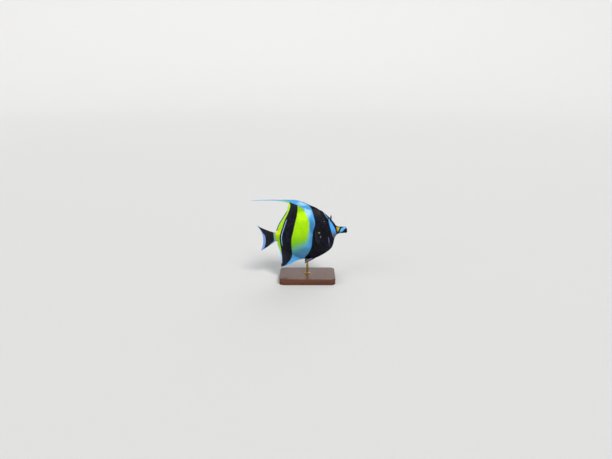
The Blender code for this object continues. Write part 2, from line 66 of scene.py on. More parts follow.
# The body's outline and breadth, as the solids have it: upper x, z, lower x, z, half width, exponent
BODY_STATIONS = (
    (-4, 10.2, -4, -9.8, 1.0, 0.55), (0, 9.8, 0, -9.4, 2.5, 0.60), (4.8, 9.8, 3.6, -10.1, 3.8, 0.64),
    (10, 13.4, 8, -15.8, 5.4, 0.70), (20, 22.6, 16, -26, 8.0, 0.74), (34.9, 33.4, 27.5, -37.3, 10.6, 0.76),
    (49.8, 43.5, 42.1, -46.9, 12.6, 0.76), (64.3, 50, 56.5, -50.6, 13.8, 0.75),
    (76.6, 52, 69.8, -51.2, 14.2, 0.73), (86, 50.9, 82.1, -48.7, 14.0, 0.71),
    (93.5, 47.9, 90.5, -45.2, 13.4, 0.69), (100.4, 43, 98, -41.6, 12.5, 0.66),
    (107.5, 35.8, 106.8, -36.2, 11.1, 0.63), (113.2, 28.9, 112.9, -29.6, 9.6, 0.60),
    (117.6, 22.9, 116.2, -21.6, 8.3, 0.57), (121, 17.7, 118.4, -13.6, 7.1, 0.54),
    (124, 13, 121.3, -8.2, 6.0, 0.52), (127.2, 10.9, 125, -4.9, 5.1, 0.50),
    (131.5, 10.3, 130, -3.7, 4.4, 0.50), (136.5, 9.7, 136, -3.6, 3.9, 0.50),
    (140, 9.2, 139.9, -3.5, 3.6, 0.50), (142.2, 9, 142.2, -3.8, 3.8, 0.50),
    (144, 7.8, 144.4, -3.1, 3.3, 0.50), (144.9, 5.2, 145.4, -1.2, 2.1, 0.50),
)
RIDGE, RIDGE_SHARE, LEAST_RIDGE = 1.1, 0.45, 0.03
RIDGE_REAR, RIDGE_FRONT = (1, 9), (94, 106)  # where the flat ridge fades out towards tail and head
FILLET = 3.2  # reach of the hollow beside a median fin
NOSE_ROUND = 1.6  # the last stretch, which closes in a half ellipse
COAT_DEPTH = 0.08  # how far the skin lies under the solids, to make room for the scales

# Guide rays of the fins in the middle plane: root x, tip x, tip z, along the leading and then the hind edge
DORSAL_GUIDES = (
    ((92, 91, 49.7), (89.5, 86.5, 53.2), (85, 74.8, 59.2), (76.5, 61.8, 66.6), (66.5, 48.6, 71.9),
     (57.5, 34.5, 73.8)),
    ((49.5, 33.7, 66.9), (45.5, 31.4, 59.9), (39, 28, 51.6), (31, 20.8, 41.9), (22.5, 13.5, 32.4),
     (14, 7.3, 22.8), (6.5, 3.2, 12.8)),
)
ANAL_GUIDES = (
    ((52, 50.5, -51.2), (47.5, 40.8, -52.6), (42.5, 31.5, -55.8), (37.5, 22.5, -59.9), (33, 13.5, -62.5),
     (29.5, 5.7, -63.6)),
    ((26.5, 6.9, -53), (22.5, 7.7, -41.5), (16.5, 6.5, -31), (11, 4.2, -21.5), (5.5, 2.4, -13.6)),
)
DORSAL_BOW, ANAL_BOW, TAIL_BOWS = 0.07, 0.06, (0.05, -0.03)
FIN_SUNK, EDGE_REACH = 3.0, 8.0  # mm under the skin, and mm from an edge within which a fin's edge is marked
STREAMER_STATIONS = (
    (40.6, 72.9, 40, 70.6, 0.18, 0.5), (38, 73.2, 37.4, 69.2, 0.31, 0.5), (34.2, 73.7, 33.4, 67.1, 0.50, 0.5),
    (30.4, 74.1, 29.8, 68.3, 0.52, 0.5), (26, 74.5, 25.5, 69.8, 0.52, 0.5), (21, 74.9, 20.7, 71.4, 0.52, 0.5),
    (16, 75.3, 15.9, 72.8, 0.50, 0.5), (3, 76.7, 3, 74.8, 0.47, 0.5), (-13.6, 77.7, -13.6, 76.3, 0.42, 0.5),
    (-30, 78.3, -30, 77.3, 0.34, 0.5), (-42, 78.4, -42, 77.85, 0.20, 0.5),
)
STREAMER_GRIP = (34.4, 70.3)  # the middle of the back fin's corner, which ends inside the streamer
STREAMER_SWAY, STREAMER_DROP = 0.35, 0.01
STREAMER_LIME = ((34.5, 69.4), (24.2, 72.2), (16.3, 72.9))  # the upper edge of its lime part, x, z
# Tail fin: half height of its root, length in its middle, exponent of its fork and gap to the body
TAIL_ROOT, TAIL_MIDDLE, TAIL_FORK, TAIL_GAP = 9.0, 24.3, 2.1, 0.3
TAIL_UPPER_LOBE, TAIL_LOWER_LOBE = (35.5, 27.6), (32.0, 26.4)  # length and height
PECTORAL_ROOT = ((88.8, 2.0), (89.8, -7.6))
PECTORAL_LENGTH, PECTORAL_CUP, PECTORAL_SWING = 25.0, 1.2, math.radians(27)
PECTORAL_FAN = (math.radians(34), math.radians(-40))  # how the first and the last ray rise
PELVIC_ROOT = ((80.0, -48.2), (73.0, -46.2))
PELVIC_TIPS, PELVIC_SAG = ((54.0, 7.2, -58.0), (57.0, 9.6, -49.0)), (0, 0.6, -0.8)

# Head
EYE, EYE_RADIUS, EYE_DEPTH = (101.4, 23.3), 5.3, 3.3
PUPIL = 0.46  # of the eye's radius
HORN_ROOT, HORN_LEAN = (113.2, 26.3), (0.42, 0.22, 0.88)
HORN_LENGTH, HORN_RADIUS, HORN_TIP, HORN_SUNK, HORN_CURVE = 8.8, 2.05, 0.90, 1.4, 0.9
NOSTRILS = ((109.6, 21.4), (111.4, 19.6))
MOUTH_CORNER, MOUTH_TIP = (139.6, 1.4), (145.4, 1.7)
GILL_COVER = (104.2, -5.5, 12.8, 22.5)  # centre x, z and half axes of the ellipse whose hind arc is its edge
CHEEK_PLATE = (108.8, -4.0, 8.8, 19.0)
LATERAL_LINE = (
    (94, 20), (90, 27), (83, 34), (73, 37.5), (62, 35.5), (50, 29), (38, 20), (25, 9.5), (12, 2.5), (0, 0.3),
)
# Swellings at cheek, brow and horn: x, z, spread forward and back, spread up and down, rise
MOUNDS = ((107, 3, 6, 9, 0.55), (103.5, 31.5, 5, 2.2, 0.40), (*HORN_ROOT, 2.9, 2.9, 0.75))
FOLDS = (  # path, rise and breadth of creases, and of the swellings round the roots of the paired fins
    (((106.5, 17.5), (118.0, 10.0), (133.0, 3.6)), -0.16, 0.9),
    (((92.5, -14.0), (97.0, -17.5), (103.5, -21.5)), -0.14, 0.45),
    (((139.0, 0.9), (134.0, -0.4), (128.5, -1.6)), -0.14, 0.5),
    (PECTORAL_ROOT, 0.85, 1.9),
    (PELVIC_ROOT, 0.35, 1.6),
)

# Places in the photograph, in pixels of its 612 by 459 frame
PHOTO_CENTRE, PHOTO_TAIL_ROOT, PHOTO_WIDTH = (306.0, 229.5), (275.0, 237.0), 612
PIXEL = 2.0  # mm at the fish
CAMERA_RISE, CAMERA_DISTANCE = math.radians(15), 1.312


def find_origin():
    """Where the solids have the root of the tail fin, worked out from the tail fin's own mesh."""
    level = np.array([vert.co for vert in frame["nodes"]["caudal_fin"].data.vertices]) @ TURN
    middle = (TAIL_UPPER_LOBE[1] - TAIL_LOWER_LOBE[1]) / 2 * MM
    z = (level[:, 2].max() + level[:, 2].min()) / 2 - middle
    return TURN @ np.array((level[:, 0].max() + TAIL_GAP * MM, 0.0, z))


ORIGIN = find_origin()


def world(points):
    """Points of the fish's frame, in mm, as places in the scene, in metres."""
    return ORIGIN + np.asarray(points) * MM @ TURN.T


def ease(low, high, value):
    """0 below low, 1 above high, and a smooth rise between."""
    share = np.clip((value - low) / (high - low), 0, 1)
    return share * share * (3 - 2 * share)


def bump(value, spread):
    """1 at 0, falling off smoothly over the spread."""
    return np.exp(-((value / spread) ** 2))


def hermite(knots, values, at):
    """A cubic curve through the rows of values, with slopes taken from the neighbouring rows."""
    at = np.clip(at, knots[0], knots[-1])
    slopes = np.gradient(values, knots, axis=0)
    i = np.clip(np.searchsorted(knots, at, side="right") - 1, 0, len(knots) - 2)
    span = (knots[i + 1] - knots[i])[..., None]
    t = (at - knots[i])[..., None] / span
    start = (1 + 2 * t) * (1 - t) ** 2 * values[i] + t * (1 - t) ** 2 * span * slopes[i]
    return start + t * t * (3 - 2 * t) * values[i + 1] + t * t * (t - 1) * span * slopes[i + 1]


def unit(vectors):
    return vectors / np.maximum(np.linalg.norm(vectors, axis=-1, keepdims=True), 1e-9)


def distance_to_path(points, path):
    """The distance from each x, z point to a polyline, and how far along it the nearest place lies."""
    path = np.asarray(path, float)
    steps = np.diff(path, axis=0)
    lengths = np.linalg.norm(steps, axis=1)
    off = points[..., None, :] - path[:-1]
    share = np.clip((off * steps).sum(axis=-1) / lengths ** 2, 0, 1)
    away = np.linalg.norm(off - share[..., None] * steps, axis=-1)
    run = np.cumsum(lengths) - lengths * (1 - share)
    nearest = away.argmin(axis=-1)[..., None]
    return [np.take_along_axis(values, nearest, -1)[..., 0] for values in (away, run)]


class Loft:
    """A skin through stations. A place on it is a position along it and a height from -1 to 1."""

    def __init__(self, stations, ridged):
        rows = np.array(stations, float)
        self.rows = rows[np.argsort(rows[:, 0] + rows[:, 2])]
        self.knots = (self.rows[:, 0] + self.rows[:, 2]) / 2
        self.ridged = ridged

    def point(self, at, height, side):
        at, height, side = np.broadcast_arrays(np.asarray(at, float), height, side)
        row = hermite(self.knots, self.rows, at)
        upper, lower, wide, power = row[..., 0:2], row[..., 2:4], row[..., 4], row[..., 5]
        ridge = np.minimum(RIDGE, RIDGE_SHARE * wide) * self.ridged
        ridge = np.maximum(ridge * ease(*RIDGE_REAR, at) * (1 - ease(*RIDGE_FRONT, at)), LEAST_RIDGE)
        half = (wide - ridge) * np.maximum(1 - height * height, 0) ** power
        closing = 0
        if self.ridged:
            half = half * self.footing(at, height, np.linalg.norm(upper - lower, axis=-1) / 2)
            closing = np.clip((at - self.knots[-1] + NOSE_ROUND) / NOSE_ROUND, 0, 0.9999)
        closing = np.sqrt(1 - np.square(closing))
        flat = (upper + lower) / 2 + (upper - lower) / 2 * (height * closing)[..., None]
        return off_plane(flat, side * (ridge + half) * closing)

    @staticmethod
    def footing(at, height, half_height):
        """Hollows the flank beside a median fin, so that it runs into the fin's foot without a crease."""
        above = ease(4, 12, at) * (1 - ease(80, 94, at))
        below = ease(3, 10, at) * (1 - ease(42, 54, at))
        from_ridge = (1 - np.abs(height)) * half_height
        return 1 - np.where(height > 0, above, below) * np.exp(-from_ridge / FILLET)

    @staticmethod
    def axes(place, at, height, side):
        """Unit vectors along a skin to the tail, across it and out of it, with the stretch along it."""
        step, rise = 0.15, 0.008
        along = place(at + step, height, side) - place(at - step, height, side)
        above, below = np.clip(height + rise, -0.9999, 0.9999), np.clip(height - rise, -0.9999, 0.9999)
        across = place(at, above, side) - place(at, below, side)
        out = unit(np.cross(across, along) * np.asarray(side)[..., None])
        return (-unit(along), unit(across), out), np.linalg.norm(along, axis=-1) / (2 * step)

    def locate(self, x, z):
        """The position and height of the place that the side view shows at x, z."""
        low, high = self.knots[0], self.knots[-1]
        for _ in range(40):
            middle = (low + high) / 2
            row = hermite(self.knots, self.rows, middle)
            rise, off = row[0:2] - row[2:4], (x, z) - row[2:4]
            low, high = (middle, high) if off[0] * rise[1] > off[1] * rise[0] else (low, middle)
        return low, 2 * off @ rise / (rise @ rise) - 1

    def outline(self, column, x):
        """The z of the upper (0) or lower (2) outline at x."""
        line = hermite(self.knots, self.rows, np.linspace(self.knots[0], self.knots[-1], 2000))
        order = np.argsort(line[:, column])
        return np.interp(x, line[order, column], line[order, column + 1])

    def rings(self, at, steps):
        """Rings of points round the skin, each up its left side and down its right one."""
        heights = -np.cos(np.linspace(0, math.pi, steps + 1))
        left, right = (self.point(at[:, None], heights, side) for side in (LEFT, RIGHT))
        return np.concatenate((left, right[:, ::-1]), axis=1)


def off_plane(flat, y):
    """Places at x, z and a distance y to the left of the middle plane."""
    return np.stack((flat[..., 0], y, flat[..., 1]), axis=-1)


BODY = Loft(BODY_STATIONS, 1)


def orbit(x, z):
    away = np.hypot(x - EYE[0], z - EYE[1])
    return 0.42 * bump(away - 5.9, 0.75) - 0.22 * bump(away - 8.4, 1.3) - 2.4 * (1 - ease(4.4, 5.3, away))


def past_rim(x, z, ellipse):
    """How far a place lies outside an ellipse, in mm, and whether it is on its hind arc, from 0 to 1."""
    centre_x, centre_z, long, tall = ellipse
    q = np.hypot((x - centre_x) / long, (z - centre_z) / tall)
    return (q - 1) * long, ease(0.10, 0.45, (centre_x - x) / long / np.maximum(q, 0.01))


def flap(x, z, ellipse, rise, fall, rim):
    """A plate whose hind edge, an arc of an ellipse, stands over a groove."""
    out, rearward = past_rim(x, z, ellipse)
    plate = rise * ease(-rim, -0.2, out) * (1 - ease(-0.2, 0.35, out))
    return (plate - fall * bump(out - 0.75, 0.75)) * rearward


def mouth(x, z):
    """A mouth open by a hair: a slit that widens to the front, with a full lip above and below it."""
    share = np.clip((x - MOUTH_CORNER[0]) / (MOUTH_TIP[0] - MOUTH_CORNER[0]), 0, 1)
    off = np.abs(z - (MOUTH_CORNER[1] + share * (MOUTH_TIP[1] - MOUTH_CORNER[1])))
    half_open = 0.12 + 0.30 * share
    slit = 1.3 * (1 - ease(half_open, half_open + 0.22, off)) * ease(139.0, 140.6, x)
    lips = 0.42 * bump(off - half_open - 0.85, 0.62) * ease(139.8, 141.6, x)
    fold = 0.16 * bump(x - 139.9 + 0.12 * off, 0.75) * (1 - ease(3.0, 4.5, off))
    return lips - slit - fold


def relief(x, z):
    """How far the skin rises over the plain body at a place in the side view, in mm."""
    flat = np.stack((x, z), axis=-1)
    rise = orbit(x, z) + mouth(x, z) - COAT_DEPTH
    rise = rise + flap(x, z, GILL_COVER, 0.50, 0.40, 7.0) + flap(x, z, CHEEK_PLATE, 0.16, 0.12, 4.0)
    for centre_x, centre_z in NOSTRILS:
        away = np.hypot(x - centre_x, z - centre_z)
        rise = rise - 1.1 * (1 - ease(0.22, 0.62, away)) + 0.24 * bump(away - 0.85, 0.28)
    for centre_x, centre_z, wide, tall, height in MOUNDS:
        rise = rise + height * bump(np.hypot((x - centre_x) / wide, (z - centre_z) / tall), 1)
    for path, height, breadth in FOLDS:
        rise = rise + height * bump(distance_to_path(flat, path)[0], breadth)
    away, run = distance_to_path(flat, LATERAL_LINE)
    rise = rise + 0.16 * bump(away, 0.38) * (0.55 + 0.45 * np.cos(2 * math.pi * run / 1.7))
    return rise + 0.05 * np.sin(x * 0.9 + 2 * np.sin(z * 0.31)) * np.sin(z * 0.7 + np.sin(x * 0.23))


def skin_point(at, height, side):
    """A place on the finished skin."""
    base = BODY.point(at, height, side)
    out = BODY.axes(BODY.point, at, height, side)[0][2]
    return base + out * relief(base[..., 0], base[..., 2])[..., None]


def link(name, data):
    obj = bpy.data.objects.new(name, data)
    bpy.context.scene.collection.objects.link(obj)
    return obj


def build(name, points, faces, **attributes):
    """A smooth mesh object of points in metres, with float attributes on its points."""
    mesh = bpy.data.meshes.new(name)
    mesh.from_pydata(points.reshape(-1, 3).tolist(), [], faces)
    mesh.validate()
    for title, values in attributes.items():
        layer = mesh.attributes.new(title, "FLOAT", "POINT")
        layer.data.foreach_set("value", np.ravel(values))
    mesh.shade_smooth()
    return link(name, mesh)


def grid_faces(rows, columns, ring=False):
    """Quads over a grid of points. A ring also joins its last column to its first."""
    index = np.arange(rows * columns).reshape(rows, columns)
    if ring:
        index = np.column_stack((index, index[:, 0]))
    corners = (index[:-1, 1:], index[1:, 1:], index[1:, :-1], index[:-1, :-1])
    return np.stack(corners, axis=-1).reshape(-1, 4)


def fan(ring, hub):
    return [(a, b, hub) for a, b in zip(ring, ring[1:] + ring[:1])]


def tube(rings, flat_ends=False):
    """Points and faces of a tube through rings of points, each end closed round a hub or by one flat face."""
    count, columns = rings.shape[:2]
    points = rings.reshape(-1, 3)
    faces = grid_faces(count, columns, ring=True).tolist()
    start, end = list(range(columns))[::-1], list(range(len(points) - columns, len(points)))
    if flat_ends:
        return points, faces + [start, end]
    faces += fan(start, len(points)) + fan(end, len(points) + 1)
    return np.concatenate((points, rings[[0, -1]].mean(axis=1))), faces


def make_skin():
    """The skin, with its rings closest at the snout."""
    stretches = ((BODY.knots[0], 9, 24), (9, 91, 128), (91, 126, 110), (126, 138, 44), (138, 144, 50))
    runs = [np.linspace(start, end, count, endpoint=False) for start, end, count in stretches]
    nose = 144 + (BODY.knots[-1] - 144) * np.sin(np.linspace(0, math.pi / 2, 14))
    base = BODY.rings(np.concatenate((*runs, nose)), 132)
    around = np.roll(base, -1, axis=1) - np.roll(base, 1, axis=1)
    out = unit(np.cross(around, np.gradient(base, axis=0)))
    points, faces = tube(base + out * relief(base[..., 0], base[..., 2])[..., None])
    return build("skin", world(points), faces)


# One scale as shares of its length, width and lift: the seven corners of its rim, its crown and its foot
SCALE = np.array((
    (-0.55, 0, -0.06), (-0.20, 0.46, -0.02), (0.22, 0.50, 0.05), (0.50, 0.22, 0.07), (0.50, -0.22, 0.07),
    (0.22, -0.50, 0.05), (-0.20, -0.46, -0.02), (0.05, 0, 0.085), (0, 0, -0.09),
))
SCALE_RIM = list(range(7))
MOST_LIFT = 1.2  # mm
UV_PATCH = 0.003  # a scale's breadth on the coat's map
BARE_SPOTS = ((*EYE, 6.0), (*HORN_ROOT, 2.9), *((*nostril, 1.1) for nostril in NOSTRILS))  # x, z, radius
BARE_LIPS = 138.6  # x


def make_scales(name, roots, axes, lengths, widths, spots, **attributes):
    """Many small closed plates in one mesh, each with its own patch of the coat's map at its spot.

    The axes of each scale are to the tail, across and out of the skin.
    """
    sizes = (lengths, widths, np.minimum(lengths, MOST_LIFT))
    scaled = np.stack([axis * size[:, None] for axis, size in zip(axes, sizes)], axis=1)
    points = roots[:, None] + SCALE @ scaled
    plate = np.array(fan(SCALE_RIM, 7) + fan(SCALE_RIM[::-1], 8))
    faces = (plate + np.arange(len(roots))[:, None, None] * len(SCALE)).reshape(-1, 3)
    spread = {title: np.repeat(values, len(SCALE)) for title, values in attributes.items()}
    obj = build(name, world(points), faces.tolist(), **spread)
    obj.data.shade_flat()
    corners = spots[:, None] + SCALE[:, :2] * UV_PATCH
    layer = obj.data.uv_layers.new(name="OFBake")
    layer.data.foreach_set("uv", corners.reshape(-1, 2)[faces.ravel()].ravel())
    return obj


def scale_size(at):
    """The width of a scale by its position along the body."""
    return np.interp(at, (-3, 6, 25, 85, 100, 118, 128, 139), (0.5, 0.6, 0.82, 0.82, 0.66, 0.56, 0.48, 0.4))


def bare(x, z):
    """True where no scale grows: at eye, horns, nostrils and lips and along the gill cover's edge."""
    clear = x > BARE_LIPS
    for centre_x, centre_z, radius in BARE_SPOTS:
        clear |= np.hypot(x - centre_x, z - centre_z) < radius
    out, rearward = past_rim(x, z, GILL_COVER)
    return clear | (np.abs(out) < 0.75) & (rearward > 0.2)


def body_scales(name, start, end, side, draw):
    """One coat piece: rows of scales over a stretch of one side of the body, closer where they are small."""
    fine = -np.cos(np.linspace(0, math.pi, 181))
    ats, heights, row_at = [], [], start
    while not ats or last_at < end:
        line = BODY.point(row_at, fine, side)
        run = np.concatenate(([0], np.cumsum(np.linalg.norm(np.diff(line, axis=0), axis=1))))
        size = scale_size(row_at)
        places = np.arange(0.25 + 0.5 * (len(ats) % 2), run[-1] / size - 0.2) * size
        places = places + draw.uniform(-0.06, 0.06, len(places)) * size
        heights.append(np.interp(places, run, fine))
        ats.append(row_at + draw.uniform(-0.05, 0.05, len(places)) * size)
        last_at, row_at = row_at, row_at + 0.72 * size
    at, height = np.concatenate(ats), np.concatenate(heights)
    plain = BODY.point(at, height, side)
    grows = ~bare(plain[:, 0], plain[:, 2])
    at, height = at[grows], height[grows]
    sides = np.full(len(at), side)
    roots = skin_point(at, height, sides)
    axes, stretch = BODY.axes(skin_point, at, height, sides)
    size = scale_size(at) * draw.uniform(0.92, 1.08, len(at))
    span = BODY.knots[-1] - BODY.knots[0]
    spots = np.stack(((at - BODY.knots[0]) / span, 0.5 + side * (height + 1) / 4), axis=-1) * 0.99 + 0.005
    tone = draw.uniform(0, 1, len(at))
    lengths = size * np.minimum(stretch, 1.6) * 1.12
    return make_scales(name, roots, axes, lengths, size * 1.10, spots, tone=tone)


def fin_grid(rays, columns_per_ray, rows, fray, wave):
    """A grid over a fin: share of the root, number of the ray, reach along it, and reach with a frayed edge.

    A reach under 0 lies in the body. The edge is drawn in between the ray tips, a little differently at each.
    """
    reaches = np.concatenate((np.linspace(-1, 0, 4, endpoint=False), np.linspace(0, 1, rows)))
    share, reach = np.meshgrid(np.linspace(0, 1, rays * columns_per_ray + 1), reaches, indexing="ij")
    ray = share * rays
    drawn_in = fray * (0.5 - 0.5 * np.cos(2 * math.pi * ray)) * (0.7 + 0.3 * np.sin(wave * ray))
    return share, ray, reach, np.where(reach > 0, reach * (1 - drawn_in), reach)


def ray_ridges(ray, reach, fork, spines=0):
    """How much of a ray lies at each place: 1 on a ray's crest, 0 on the membrane. Soft rays fork twice."""
    nearest = np.round(ray)
    soft = nearest >= spines
    first = 0.17 * ease(fork, fork + 0.28, reach) * soft
    second = 0.08 * ease(fork + 0.30, fork + 0.50, reach) * soft
    width = 0.115 - 0.055 * ease(fork, 1, reach) * soft
    offs = (ray - nearest - a * first - b * second for a in (-1, 1) for b in (-1, 1))
    return np.maximum.reduce([bump(off, width) for off in offs])


def along_ray(root, tip, aside, reach, sunk):
    """A place on a ray that bows aside from root to tip. Under 0 it goes straight in, to sunk mm at -1."""
    share = np.clip(reach, 0, 1)[..., None]
    control = (root + tip) / 2 + aside * 2
    bow = root * (1 - share) ** 2 + control * (2 * share * (1 - share)) + tip * share * share
    return bow + unit(tip - root) * (np.clip(reach, -1, 0) * sunk)[..., None]


def fin_sheet(name, middles, normal, halves, foot, reach, crest, **edges):
    """A closed fin round a grid of middles, with half its thickness along the normal, or foot in the body."""
    rows, columns = middles.shape[:2]
    off = np.where(reach < 0, foot, halves)[..., None] * normal
    index = np.arange(rows * columns).reshape(rows, columns)
    rim = np.concatenate((index[0], index[1:, -1], index[-1, -2::-1], index[-2:0:-1, 0]))
    ahead = np.roll(rim, -1)
    front, back = grid_faces(rows, columns), index.size
    sides = np.stack((ahead, rim, rim + back, ahead + back), axis=-1)
    faces = np.concatenate((front[:, ::-1], front + back, sides)).tolist()
    edges.update(ray=crest, reach=np.clip(reach, 0, 1))
    doubled = {title: np.tile(values.ravel(), 2) for title, values in edges.items()}
    return build(name, world((middles + off, middles - off)), faces, **doubled)


def nearness(flat, edge):
    """1 on an edge, falling to 0 at EDGE_REACH mm or more."""
    return np.clip(1 - distance_to_path(flat, edge)[0] / EDGE_REACH, 0, 1)


class MedianFin:
    """The back or anal fin as places worked out from a root share and a reach along the ray."""

    def __init__(self, guides, column, bow):
        self.guides = [np.array(table, float) for table in guides]
        self.column, self.bow = column, bow
        self.first, self.last = guides[0][0][0], guides[1][-1][0]
        self.ends = guides[0][-1][0], guides[1][0][0]  # the roots of the two rays at the fin's corner

    def tips(self, x):
        """The x, z of the tips of the rays with their roots at x."""
        lead, trail = (hermite(-table[:, 0], table[:, 1:], -x) for table in self.guides)
        between = np.clip((self.ends[0] - x) / (self.ends[0] - self.ends[1]), 0, 1)[..., None]
        return lead * (1 - between) + trail * between

    def place(self, share, reach):
        """The x, z of a place and the length of its ray. A reach under 0 goes down into the body."""
        x = self.first + (self.last - self.first) * share
        root, tip = np.stack((x, BODY.outline(self.column, x)), axis=-1), self.tips(x)
        chord = tip - root
        aside = np.stack((np.abs(chord[..., 1]), -chord[..., 0] * np.sign(chord[..., 1])), axis=-1) * self.bow
        return along_ray(root, tip, aside, reach, FIN_SUNK), np.linalg.norm(chord, axis=-1)

    def margins(self, flat):
        """Nearness to the hind and to the leading edge."""
        x = np.linspace(self.first, self.last, 400)
        return [nearness(flat, self.tips(x[part])[::8]) for part in (x <= self.ends[0], x >= self.ends[0])]

    @staticmethod
    def half(out, length):
        """Half the thickness of the membrane, which is thick at its foot."""
        return 0.26 + 0.42 * (1 - out) ** 1.5 + 0.45 * bump(out * length, 2.2)

    @staticmethod
    def sway(share, out, lead):
        return 0.55 * out ** 2 * np.sin(share * 11 + out * 1.5) * (1 - lead)


DORSAL, ANAL = MedianFin(DORSAL_GUIDES, 0, DORSAL_BOW), MedianFin(ANAL_GUIDES, 2, ANAL_BOW)
MOST_HALF = 1.15  # of a median fin's thickness


def median_fin(name, fin, rays, spines, rows):
    share, ray, reach, frayed = fin_grid(rays, 8, rows, 0.022, 2.3)
    flat, length = fin.place(share, frayed * 0.998)
    out = np.clip(reach, 0, 1)
    crest = ray_ridges(ray, out, 0.45, spines)
    hind, lead = fin.margins(flat)
    halves = fin.half(out, length) + crest * (0.07 + 0.20 * (1 - out))
    halves = halves + 0.22 * bump((1 - lead) * EDGE_REACH, 0.9) * (out > 0.2)
    halves = np.minimum(halves * (1 - 0.45 * bump((1 - hind) * EDGE_REACH, 0.5)), MOST_HALF)
    held = bump(np.linalg.norm(flat - STREAMER_GRIP, axis=-1), 5.0)
    middles = off_plane(flat, fin.sway(share, out, lead) * (1 - held))
    halves = halves * (1 - 0.65 * held)
    return fin_sheet(name, middles, (0, 1, 0), halves, 0.95, reach, crest, hind=hind, lead=lead)


def tail_edge(height):
    lobe = np.where(height[..., None] > 0, TAIL_UPPER_LOBE, TAIL_LOWER_LOBE)
    length = TAIL_MIDDLE + (lobe[..., 0] - TAIL_MIDDLE) * np.abs(height) ** TAIL_FORK
    return np.stack((-length, lobe[..., 1] * height), axis=-1)


def caudal_fin(name):
    share, ray, reach, frayed = fin_grid(16, 12, 56, 0.02, 1.7)
    height = 1 - 2 * share
    tip = tail_edge(height)
    root = np.stack((0 * height, TAIL_ROOT * height), axis=-1)
    aside = np.stack((0 * height, -np.where(height > 0, *TAIL_BOWS) * tip[..., 1]), axis=-1)
    flat = along_ray(root, tip, aside, frayed, FIN_SUNK)
    out = np.clip(reach, 0, 1)
    crest = ray_ridges(ray, out, 0.35)
    hind = nearness(flat, tail_edge(np.linspace(1, -1, 60)))
    from_rim = np.minimum(share, 1 - share) * 2 * TAIL_ROOT * (1 + 2 * out)
    halves = 0.26 + 0.75 * (1 - out) ** 1.6 + crest * (0.08 + 0.22 * (1 - out))
    halves = halves * (0.45 + 0.55 * ease(0, 1.2, from_rim)) * (1 - 0.4 * bump((1 - hind) * EDGE_REACH, 0.5))
    middles = off_plane(flat, 0.6 * out ** 2 * np.sin(share * 9 + 1))
    return fin_sheet(name, middles, (0, 1, 0), np.minimum(halves, 1.3), 0.9, reach, crest, hind=hind)


def root_line(ends, share, side, knots):
    """Places on the flank along a fin's root, which is straight in the side view."""
    start, end = np.array(ends)
    shares = np.linspace(0, 1, knots)
    spots = [BODY.locate(*(start + (end - start) * u)) for u in shares]
    at, height = (np.interp(share, shares, column) for column in zip(*spots))
    return BODY.point(at, height, side)


def pectoral_fin(name, side):
    """A thin fan of rays held out from the flank, cupped a little."""
    share, ray, _, reach = fin_grid(17, 8, 44, 0.03, 3.1)
    axis = np.array((-math.sin(PECTORAL_SWING), side * math.cos(PECTORAL_SWING), 0))
    up = np.array((0, 0, 1))
    normal = np.cross(axis, up)
    turn = (PECTORAL_FAN[0] + (PECTORAL_FAN[1] - PECTORAL_FAN[0]) * share)[..., None]
    length = PECTORAL_LENGTH * (1 - 0.42 * share ** 1.6) * (0.90 + 0.10 * np.sin(math.pi * share))
    root = root_line(PECTORAL_ROOT, share, side, 9)
    tip = root + (axis * np.cos(turn) + up * np.sin(turn)) * length[..., None]
    out = np.clip(reach, 0, 1)
    cup = side * PECTORAL_CUP * np.sin(math.pi * out / 2) + 0.175 * out * np.sin(math.pi * ray)
    middles = along_ray(root, tip, 0, reach, 1.6) + normal * cup[..., None]
    crest = ray_ridges(ray, out, 0.40)
    halves = 0.14 + 0.45 * (1 - out) ** 2 + crest * (0.05 + 0.16 * (1 - out))
    return fin_sheet(name, middles, normal, halves, 0.6, reach, crest)


def pelvic_fin(name, side):
    """One spine and five rays under the breast, swept back beside the belly."""
    share, ray, reach, frayed = fin_grid(6, 12, 44, 0.06, 2.9)
    start, end, sag = np.array((*PELVIC_TIPS, PELVIC_SAG)) * (1, side, 1)
    tip = start + (end - start) * share[..., None]
    middles = along_ray(root_line(PELVIC_ROOT, share, side, 7), tip, sag, frayed, 1.8)
    out = np.clip(reach, 0, 1)
    crest = ray_ridges(ray, out, 0.40, 1)
    halves = 0.16 + 0.5 * (1 - out) ** 1.6 + crest * (0.08 + 0.22 * (1 - out))
    return fin_sheet(name, middles, (0, side, 0), halves, 0.6, reach, crest, lead=1 - share)


def streamer(name):
    loft = Loft(STREAMER_STATIONS, 0)
    at = np.linspace(loft.knots[0], loft.knots[-1], 240)
    rings = loft.rings(at, 10)
    rings[..., 1] += STREAMER_SWAY * np.sin((at - STREAMER_GRIP[0]) * 0.07)[:, None]
    rings[..., 2] -= STREAMER_DROP
    points, faces = tube(rings)
    return build(name, world(points), faces)


